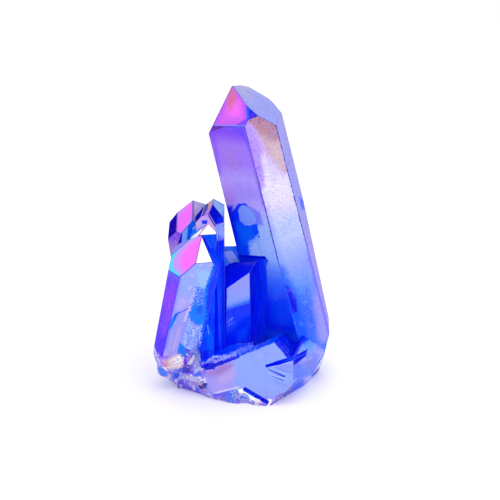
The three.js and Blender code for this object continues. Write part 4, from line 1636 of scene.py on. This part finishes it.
def front_colours(film):
    """The colours of the front break, laid out on its plane: rose on the left, pale blue on the right."""
    film.wash([(-3, LAVENDER_BLUE), (1, MIST), (5, PALE_BLUE), (11, MIST)], drift=3.0, grain=2.5)
    film.blotches(LAVENDER_BLUE, 1.8, strength=0.4)
    film.streaks(MIST, -12, 0.3, 5.0, 0.5, 0.66, strength=0.4)
    film.patch(LAVENDER_BLUE, [(6.1, 6.2), (10.2, 7.3), (10.2, 5.0), (7.7, 5.0)], soft=0.4, strength=0.7)
    film.patch(
        STRIPE_VIOLET, [(6, -3), (12, -3), (11, 3), (9.6, 3), (7.8, -0.4)],
        soft=0.7, ragged=0.4, strength=0.6,
    )
    rose = [
        (-9.3, 4.5), (-7.1, 6.1), (-1.3, 7.8), (-1.7, 4.3), (-0.3, 2.1), (-1.1, 0.8), (-6.2, -0.9),
        (-8.9, 2.2),
    ]
    film.patch(LAVENDER, rose, soft=0.9, ragged=0.5, grain=0.9)
    film.patch(
        PALE_ROSE, [(-5.4, 4.2), (-1.9, 5.6), (-2.0, 2.6), (-5.0, 1.2)],
        soft=0.8, ragged=0.8, grain=0.7, strength=0.55,
    )
    core = [(-7.6, 4.4), (-4.2, 5.4), (-1.9, 6.6), (-2.3, 5.3), (-4.2, 3.4), (-6.8, 2.7), (-7.6, 3.4)]
    film.patch(TARNISH_ROSE, core, soft=0.8, ragged=0.5, grain=0.7, strength=0.9)
    film.blotches(PALE_ROSE, 0.5, 0.12, 0.22, strength=0.4)
    film.blotches(LAVENDER_BLUE, 0.6, 0.12, 0.22, strength=0.4)
    film.patch(
        HOT_PINK, [(-9.2, 4.2), (-7.1, 4.1), (-7.7, 3.5), (-9.0, 3.6)], soft=0.15, ragged=0.15, strength=0.7
    )
    film.line(SKY, (-9.4, 2.8), (-7.0, 2.8), 0.3, soft=0.15, ragged=0.1, strength=0.7)
    film.line(DARK_BLUE, (-9.6, 4.4), (-6.0, 5.1), 1.35, ragged=0.25)
    film.line(DARK_BLUE, (-7.0, 4.7), (-1.0, 7.6), 0.8, soft=0.08, ragged=0.25)
    film.patch(
        BLUE, [(-1.6, 7.2), (3.6, 9.6), (3.4, 10.8), (-1.8, 8.8)], soft=0.15, ragged=0.3, strength=0.9
    )
    crumbled_edge(film)
    low = [(-7.4, -1.2), (-0.9, 1.1), (0.0, -0.3), (5.0, -2.3), (5.0, -4), (-8, -4)]
    film.patch(STRIPE_VIOLET, low, soft=0.15, ragged=0.3)
    film.patch(
        VEIL_BLUE, [(-3.2, 0.1), (-0.8, 0.8), (5.6, -2.3), (5.6, -4), (-4.5, -4)], ragged=0.6, strength=0.9
    )
    # A painted highlight along the ridge at the foot of the rosy break.
    film.line(PALE_LAVENDER, (-7.4, -1.05), (-0.8, 1.25), 0.34, soft=0.16, ragged=0.1)
    crumbs = [(-2.0, 0.0), (-1.2, 0.4), (1.2, -1.0), (4.4, -2.2), (4.4, -3.2), (-1.6, -3.0)]
    film.crumbs(
        crumbs,
        (STEEL, 0.2, 0.7, 0.4, 0.8),
        (ICE_BLUE, 0.06, 2.6, 0.26, 0.8),
        (DUSK, 0.06, 3.4, 0.3, 0.6),
    )
    film.patch(
        WHITE, [(-1.1, 0.8), (0.2, 1.0), (3.9, -1.1), (4.0, -1.8), (1.4, -1.1), (-0.3, -0.4)],
        soft=0.08, ragged=0.25,
    )
    film.patch(
        AQUA, [(0.6, -0.5), (1.5, -0.7), (1.4, -1.1), (0.6, -0.8)], soft=0.1, ragged=0.2, strength=0.8
    )
    # A painted highlight on the corner of the bottom chip.
    film.patch(WHITE, [(5.2, -0.8), (6.0, -0.7), (5.5, -2.4), (4.9, -2.4)], soft=0.1, ragged=0.3)
    film.line(VEIL_BLUE, (6.4, 5.7), (9.6, 4.9), 0.14, soft=0.08)
    film.line(VEIL_BLUE, (7.0, 2.8), (8.8, 2.2), 0.14, strength=0.7)
    film.line(VEIL_BLUE, (6.0, 3.0), (8.4, 1.5), 0.1, soft=0.08, strength=0.6)
    # Painted highlights along the fan of cracks.
    film.line(PALE_LAVENDER, (5.0, 4.4), (8.6, 3.5), 0.12, strength=0.7)
    film.line(PALE_LAVENDER, (4.8, 5.9), (9.6, 7.0), 0.14, strength=0.7)


def crumbled_edge(film):
    """The pale crumbs along the top edge of the front break."""
    film.line(STRIPE_VIOLET, (-9.0, 5.6), (-5.4, 6.2), 0.3, ragged=0.3, strength=0.4)
    film.line(STRIPE_VIOLET, (-4.4, 6.7), (-1.6, 7.9), 0.75, soft=0.15, ragged=0.5)
    film.line(MIST, (-4.3, 6.8), (-1.6, 8.0), 0.6, soft=0.06, ragged=0.7)
    film.line(STEEL_BLUE, (-1.6, 8.2), (4.4, 10.3), 0.7, ragged=1.0, strength=0.55)
    film.line(MIST, (-1.6, 8.1), (2.0, 9.3), 0.5, soft=0.06, ragged=1.2, strength=0.55)


@film_on(face=PALE_BREAK, bump=0.03, rough=0.1, clear=0.15, gloss=0.12)
def front_break(film):
    front_colours(film)
    film.specks(VEIL_BLUE, 0.7, 0.1, 0.3, strength=0.4)


@film_on(face=PALE_BREAK, bump=0.06, grain=0.35, clear=0.2)
def left_chips(film):
    """The shattered foot on the left, where every chip has its own colour."""
    front_colours(film)
    left = [(-20, 10), (-9.2, 10), (-8.6, 3), (-6.6, -0.5), (-7.4, -4), (-20, -4)]
    film.patch(STRIPE_VIOLET, left, ragged=0.3)
    tints = [
        LAVENDER, PALE_LAVENDER, BLUE_VIOLET, ORCHID, AZURE, PALE_ROSE, VIOLET, SKY, PINK,
        STRIPE_VIOLET, MIST, CREAM, LAVENDER_BLUE, SOFT_VIOLET, WHITE, STRIPE_VIOLET, PINK_LAVENDER, MID_BLUE,
    ]
    tinted(film, tints, 0.6)
    film.patch(
        VIOLET, [(-18.6, 8.2), (-15.6, 8.0), (-15.4, 5.6), (-17.6, 4.6)], soft=0.5, ragged=0.4, strength=0.8
    )
    film.patch(
        PINK_LAVENDER, [(-17.2, 6.2), (-14.9, 6.9), (-14.9, 3.4), (-16.8, 3.4)],
        soft=0.4, ragged=0.4, strength=0.8,
    )
    # A painted highlight on the chips of the foot: a white and cream glint with pink fringes, down to the
    # small cream patch below it.
    painted_highlight = [(-15.9, 5.6), (-13.4, 7.2), (-12.5, 6.8), (-12.6, 4.6), (-13.6, 3.9), (-15.6, 4.0)]
    film.patch(PEACH, painted_highlight, soft=0.4, ragged=0.7, grain=0.35)
    film.patch(CREAM, painted_highlight, soft=0.2, ragged=1.6, grain=0.3, strength=0.9)
    film.patch(
        WHITE, [(-14.6, 5.9), (-13.3, 6.9), (-12.6, 6.5), (-12.7, 5.2), (-14.2, 4.8)],
        ragged=0.8, grain=0.35,
    )
    film.line(DUSTY_PINK, (-15.6, 4.9), (-13.4, 5.9), 0.16, ragged=0.3, strength=0.6)
    film.line(PALE_ROSE, (-14.8, 4.3), (-12.9, 5.4), 0.2, soft=0.12, ragged=0.3, strength=0.6)
    film.patch(
        SALMON, [(-16.4, 5.2), (-15.4, 5.8), (-15.2, 4.6), (-16.2, 4.2)],
        ragged=0.7, grain=0.3, strength=0.6,
    )
    film.patch(
        CREAM, [(-16.6, 4.2), (-15.8, 4.3), (-15.7, 3.4), (-16.4, 3.3)], soft=0.12, ragged=0.4, grain=0.3
    )
    film.patch(AZURE, [(-13.3, 7.9), (-11.9, 8.2), (-11.9, 6.4), (-12.4, 6.0)], soft=0.2, ragged=0.3)
    film.patch(VIOLET, [(-12.3, 6.4), (-11.8, 5.2), (-12.2, 4.0), (-12.6, 4.4)], soft=0.2, ragged=0.2)
    film.patch(WHITE, [(-11.9, 4.7), (-10.8, 6.7), (-10.3, 6.6), (-11.3, 4.3)], soft=0.12, ragged=0.15)
    film.patch(
        PALE_MIST, [(-10.5, 7.8), (-9.2, 7.8), (-9.2, 3.8), (-10.3, 3.0)], soft=0.2, ragged=0.5, grain=0.5
    )
    film.patch(AZURE, [(-17.6, 3.8), (-16.2, 3.7), (-15.8, 2.0), (-17.0, 2.0)], soft=0.2, ragged=0.35)
    film.patch(MID_BLUE, [(-14.7, 2.6), (-13.7, 2.5), (-13.9, 1.3), (-14.8, 1.5)], soft=0.15, ragged=0.4)
    film.patch(
        PALE_LAVENDER, [(-12.6, 2.7), (-9.1, 2.4), (-9.6, 0.9), (-12.4, 1.5)],
        soft=0.2, ragged=0.6, grain=0.5,
    )
    film.patch(DARK_VIOLET, [(-8.5, 1.1), (-7.4, 1.9), (-7.5, 0.2), (-8.3, 0.4)], soft=0.05, ragged=0.08)
    film.patch(DARK_VIOLET, [(-9.7, 0.5), (-8.4, 0.5), (-8.4, -0.2), (-9.3, -0.3)], soft=0.05, ragged=0.08)
    film.patch(
        STEEL_BLUE, [(7.4, 2.4), (9.6, 1.6), (9.6, -1.4), (7.4, -1.4)],
        soft=0.5, ragged=0.6, grain=0.5, strength=0.7,
    )
    # Painted highlights round the dark violet chips: a white edge, orange-pink glints and a lavender-white
    # glint.
    film.line(WHITE, (-9.3, 1.5), (-7.9, 2.3), 0.22, soft=0.08, ragged=0.1)
    film.line(PEACH, (-8.6, 1.3), (-9.4, 0.6), 0.2, soft=0.08, ragged=0.15)
    film.patch(PEACH, [(-9.8, 1.4), (-8.6, 1.4), (-8.8, 0.5), (-9.7, 0.4)], soft=0.1, ragged=0.2)
    film.patch(ICE, [(-8.2, 2.5), (-6.8, 2.5), (-7.1, 1.5), (-8.0, 1.5)], soft=0.1, ragged=0.3)
    film.line(DARK_BLUE, (-8.9, 4.6), (-6.4, 4.95), 0.6, soft=0.08, ragged=0.2)
    film.specks(WHITE, 0.8, 0.2, 0.3, strength=0.9)
    film.specks(PINK, 0.7, 0.16, 0.3)
    film.specks(DUSK, 0.6, 0.14, 0.25)
    film.blotches(WHITE, 0.32, start=0.16, strength=0.8)
    film.blotches(VIOLET, 0.36, start=0.13)
    film.patch(
        AZURE, [(-18.4, 4.0), (-16.8, 3.4), (-15.8, 2.0), (-16.6, 1.4), (-18.4, 2.4)],
        ragged=0.4, strength=0.6,
    )


@film_on(face=PALE_BREAK, bump=0.05, vary=0.1, rough=0.12, gloss=0.02)
def right_break(film):
    """The smooth, rounded break under the tall point's right-hand side."""
    film.wash(
        [(-2, STEEL_MIST), (1, VEIL_BLUE), (4, VEIL_BLUE), (7, STEEL_MIST), (9, SKY), (11, SKY_BLUE)],
        drift=2.5, grain=2.0,
    )
    tinted(film, [MIST, HAZE, STRIPE_VIOLET, LAVENDER, SKY], 0.3)
    film.patch(SKY_BLUE, [(9.4, 7.6), (12, 6), (11.6, 1.5), (9.4, 1)], soft=0.8, ragged=0.5, strength=0.5)
    film.patch(LAVENDER_BLUE, [(13.2, 12), (17, 12), (17, -1), (14, -1)], soft=1.2, ragged=0.5)
    film.patch(
        PALE_LAVENDER, [(11.3, 2.6), (13.0, 2.4), (12.8, 0.0), (11.3, 0.0)],
        soft=0.6, ragged=0.8, grain=0.5, strength=0.7,
    )
    film.patch(
        STEEL, [(11.6, 6.4), (13.4, 6.2), (13.2, 4.4), (11.8, 4.2)], soft=0.6, ragged=0.5, strength=0.6
    )
    film.patch(
        LAVENDER, [(13.4, 9.6), (15.6, 10), (15.6, 6.4), (13.8, 6.4)], soft=0.8, ragged=0.5, strength=0.3
    )
    film.patch(
        VEIL_BLUE, [(9.2, 6.8), (11, 6.2), (11.4, 2.4), (10.4, -3), (8, -3)],
        soft=0.6, ragged=0.5, strength=0.7,
    )
    film.blotches(STRIPE_VIOLET, 1.0, strength=0.4)
    film.blotches(MIST, 0.5, start=0.1, strength=0.4)
    film.patch(
        DARK_BLUE, [(8.0, 7.7), (12.1, 8.9), (12.1, 7.8), (10.4, 6.4), (8.0, 6.3)], soft=0.06, ragged=0.12
    )
    film.line(MID_BLUE, (8.2, 7.0), (12.0, 8.2), 0.25, ragged=0.25, strength=0.6)
    film.patch(BLUE, [(9.4, 9.2), (11.8, 10.2), (12.8, 11.4), (9.4, 11.4)], soft=0.2, ragged=0.6, grain=0.4)
    film.specks(DUSK, 0.6, 0.12, 0.35, strength=0.5)


@film_on(face=PALE_BREAK, bump=0.08, grain=0.35, rough=0.2, gloss=0.05)
def ledge(film):
    film.wash([(3, DARK_BLUE), (6.5, DEEP_BLUE), (9, BRIGHT_BLUE), (14, BRIGHT_BLUE)], drift=1.5)
    film.blotches(BRIGHT_BLUE, 0.7, 0.02, 0.15, strength=0.7)
    crumbled_edge(film)
    film.blotches(DARK_BLUE, 0.45, 0.1, 0.18, strength=0.8)


@film_on(bump=0.05, rough=0.1, clear=0.1, gloss=0.15)
def pocket(film):
    film.wash([(4, DARK_BLUE), (16, DEEP_BLUE)], drift=3.0)
    film.blotches(NAVY, 0.9, strength=0.9)
    film.blotches(BRIGHT_BLUE, 0.6, start=0.08, strength=0.8)


ROOT_FILMS = ["root", "underside", "front_break", "left_chips", "right_break", "ledge", "pocket"]

# ---------------------------------------------------------------- the piece


def make_film(name):
    """The material of the film of this name."""
    if name in SIDE_FILMS:
        return side_film(name, *SIDE_FILMS[name])
    if name in END_FILMS:
        return end_film(name, *END_FILMS[name])
    return painters[name]()


for point in POINTS:
    for face in point["faces"]:
        film_index(face[3])
for name in ["worn_edge", "groove_blue", "groove_soft"] + ROOT_FILMS:
    film_index(name)
films = {name: make_film(name) for name in film_names}

# How the root's faces are told apart, in millimetres and as parts of the normal.
FACING_DOWN = -0.9
FACING_VIEWER = -0.5
FLAT_BOTTOM = 0.1
BACK_FROM = 3
POCKET_MARGIN = 0.6
POCKET_LEFT = 4.5
POCKET_HEIGHT = 5
FRONT_BREAK_DEPTH = 1.6
FRONT_BREAK_SPAN = (-9.2, 9.4)
RIGHT_BREAK_LEFT = 8.6
RIGHT_BREAK_TOP = 12
LEDGE_SPAN = (-9.8, 9)


def sort_root_faces(mesh):
    """Gives each face of the root the film of the place that it lies in."""
    numbers = {name: film_index(name) for name in ROOT_FILMS}
    pale = normal_of(UPRIGHT, PALE_BREAK)
    pale_at = distance_of(UPRIGHT, PALE_BREAK)
    pocket_planes = planes_of(UPRIGHT, POCKET[:2])
    chips = mesh.attributes["chip"].data
    for face in mesh.polygons:
        x, y, z = face.center
        normal = face.normal
        chipped = chips[face.index].value >= 0
        behind = pale_at - pale.dot(face.center)
        in_pocket = all(n.dot(face.center) < d + POCKET_MARGIN for n, d, _ in pocket_planes)
        in_break = behind < FRONT_BREAK_DEPTH and FRONT_BREAK_SPAN[0] < x < FRONT_BREAK_SPAN[1]
        if normal.z < FACING_DOWN and z < FLAT_BOTTOM:
            film = "underside"
        elif y > BACK_FROM:
            film = "root"
        elif in_pocket and x > POCKET_LEFT and z > POCKET_HEIGHT:
            film = "pocket"
        elif in_break and not chipped and normal.y < FACING_VIEWER:
            film = "front_break"
        elif x > RIGHT_BREAK_LEFT and z < RIGHT_BREAK_TOP:
            film = "right_break"
        elif not chipped and z > LEDGE_HEIGHT and LEDGE_SPAN[0] < x < LEDGE_SPAN[1]:
            film = "ledge"
        else:
            film = "left_chips"
        face.material_index = numbers[film]


def keep_outer_shell(mesh):
    """Drops the walls of any hollow that is closed in between the crystals."""
    bm = bmesh.new()
    bm.from_mesh(mesh)
    top = max(bm.verts, key=lambda vertex: vertex.co.z)
    outer = {top}
    waiting = [top]
    while waiting:
        vertex = waiting.pop()
        for edge in vertex.link_edges:
            other = edge.other_vert(vertex)
            if other not in outer:
                outer.add(other)
                waiting.append(other)
    inner = [vertex for vertex in bm.verts if vertex not in outer]
    bmesh.ops.delete(bm, geom=inner, context="VERTS")
    bm.to_mesh(mesh)
    bm.free()


SHARP_ANGLE = math.radians(18)


def quartz_cluster():
    """The root, its seven points, and the chips and grooves cut into them, as one closed mesh in metres."""
    solid = fine_root()
    solid.data.materials.clear()
    sort_root_faces(solid.data)
    all_slots(solid)
    for index, point in enumerate(POINTS):
        added = quartz_point(index, point)
        all_slots(added)
        boolean(solid, added, "UNION")
    for turn, (centre, radius, film) in enumerate(CHIPS):
        tool = ball(centre, radius, film, turn)
        all_slots(tool)
        boolean(solid, tool, "DIFFERENCE")
    for start, end, width, depth, film in GROOVES:
        tool = groove(start, end, width, depth, film)
        all_slots(tool)
        boolean(solid, tool, "DIFFERENCE")
    mesh = solid.data
    keep_outer_shell(mesh)
    mesh.transform(Matrix.Scale(MM, 4) @ Matrix.Translation(SHIFT))
    mesh.shade_smooth()
    mesh.set_sharp_from_angle(angle=SHARP_ANGLE)
    solid.name = "crystal_cluster"
    return solid


crystal = quartz_cluster()
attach(crystal, "root")
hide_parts("quartz_cluster")

# ---------------------------------------------------------------- floor, light and camera

FLOOR_SIZE = 3  # metres
FLOOR_COLOUR = (0.96, 0.94, 0.985, 1)
FLOOR_ROUGHNESS = 0.6
LAMP_POWER = 0.9  # watts
LAMP_SIZE = 0.5
LAMP_PLACE = (0.1, -0.15, 0.45)
LAMP_AIM = (0, 0, 0.02)


def studio():
    """A pale floor, an even white surround and one soft lamp above and in front."""
    bm = bmesh.new()
    bmesh.ops.create_grid(bm, x_segments=1, y_segments=1, size=FLOOR_SIZE)
    floor = new_object("floor", bm)
    paint = bpy.data.materials.new("floor_white")
    paint.use_nodes = True
    inputs = paint.node_tree.nodes["Principled BSDF"].inputs
    inputs["Base Color"].default_value = FLOOR_COLOUR
    inputs["Roughness"].default_value = FLOOR_ROUGHNESS
    inputs["Specular IOR Level"].default_value = 0.0
    floor.data.materials.append(paint)
    world = bpy.data.worlds.new("studio")
    world.use_nodes = True
    surround = world.node_tree.nodes["Background"].inputs
    surround["Color"].default_value = (1, 1, 1, 1)
    surround["Strength"].default_value = 1.0
    bpy.context.scene.world = world
    key = bpy.data.lights.new("key", "AREA")
    key.energy = LAMP_POWER
    key.size = LAMP_SIZE
    lamp = bpy.data.objects.new("key", key)
    lamp.location = LAMP_PLACE
    lamp.rotation_euler = (Vector(LAMP_AIM) - lamp.location).to_track_quat("-Z", "Y").to_euler()
    bpy.context.scene.collection.objects.link(lamp)
    bpy.context.scene.view_settings.view_transform = "Standard"


LENS = 100.0
SENSOR = 36.0
VIEW_WIDTH = 100.0  # millimetres that the view takes in at the target
ELEVATION = math.radians(20)  # how steeply the camera looks down
TARGET = Vector((0, 0, 29.5))
CLIP_START = 0.01  # metres


def camera():
    """The camera in front of the cluster, looking down at it."""
    data = bpy.data.cameras.new("camera")
    data.lens = LENS
    data.sensor_width = SENSOR
    made = bpy.data.objects.new("camera", data)
    bpy.context.scene.collection.objects.link(made)
    distance = LENS / SENSOR * VIEW_WIDTH
    forward = Vector((0, math.cos(ELEVATION), -math.sin(ELEVATION)))
    made.location = (TARGET + SHIFT - forward * distance) * MM
    made.rotation_euler = forward.to_track_quat("-Z", "Y").to_euler()
    data.clip_start = CLIP_START
    bpy.context.scene.camera = made


studio()
camera()
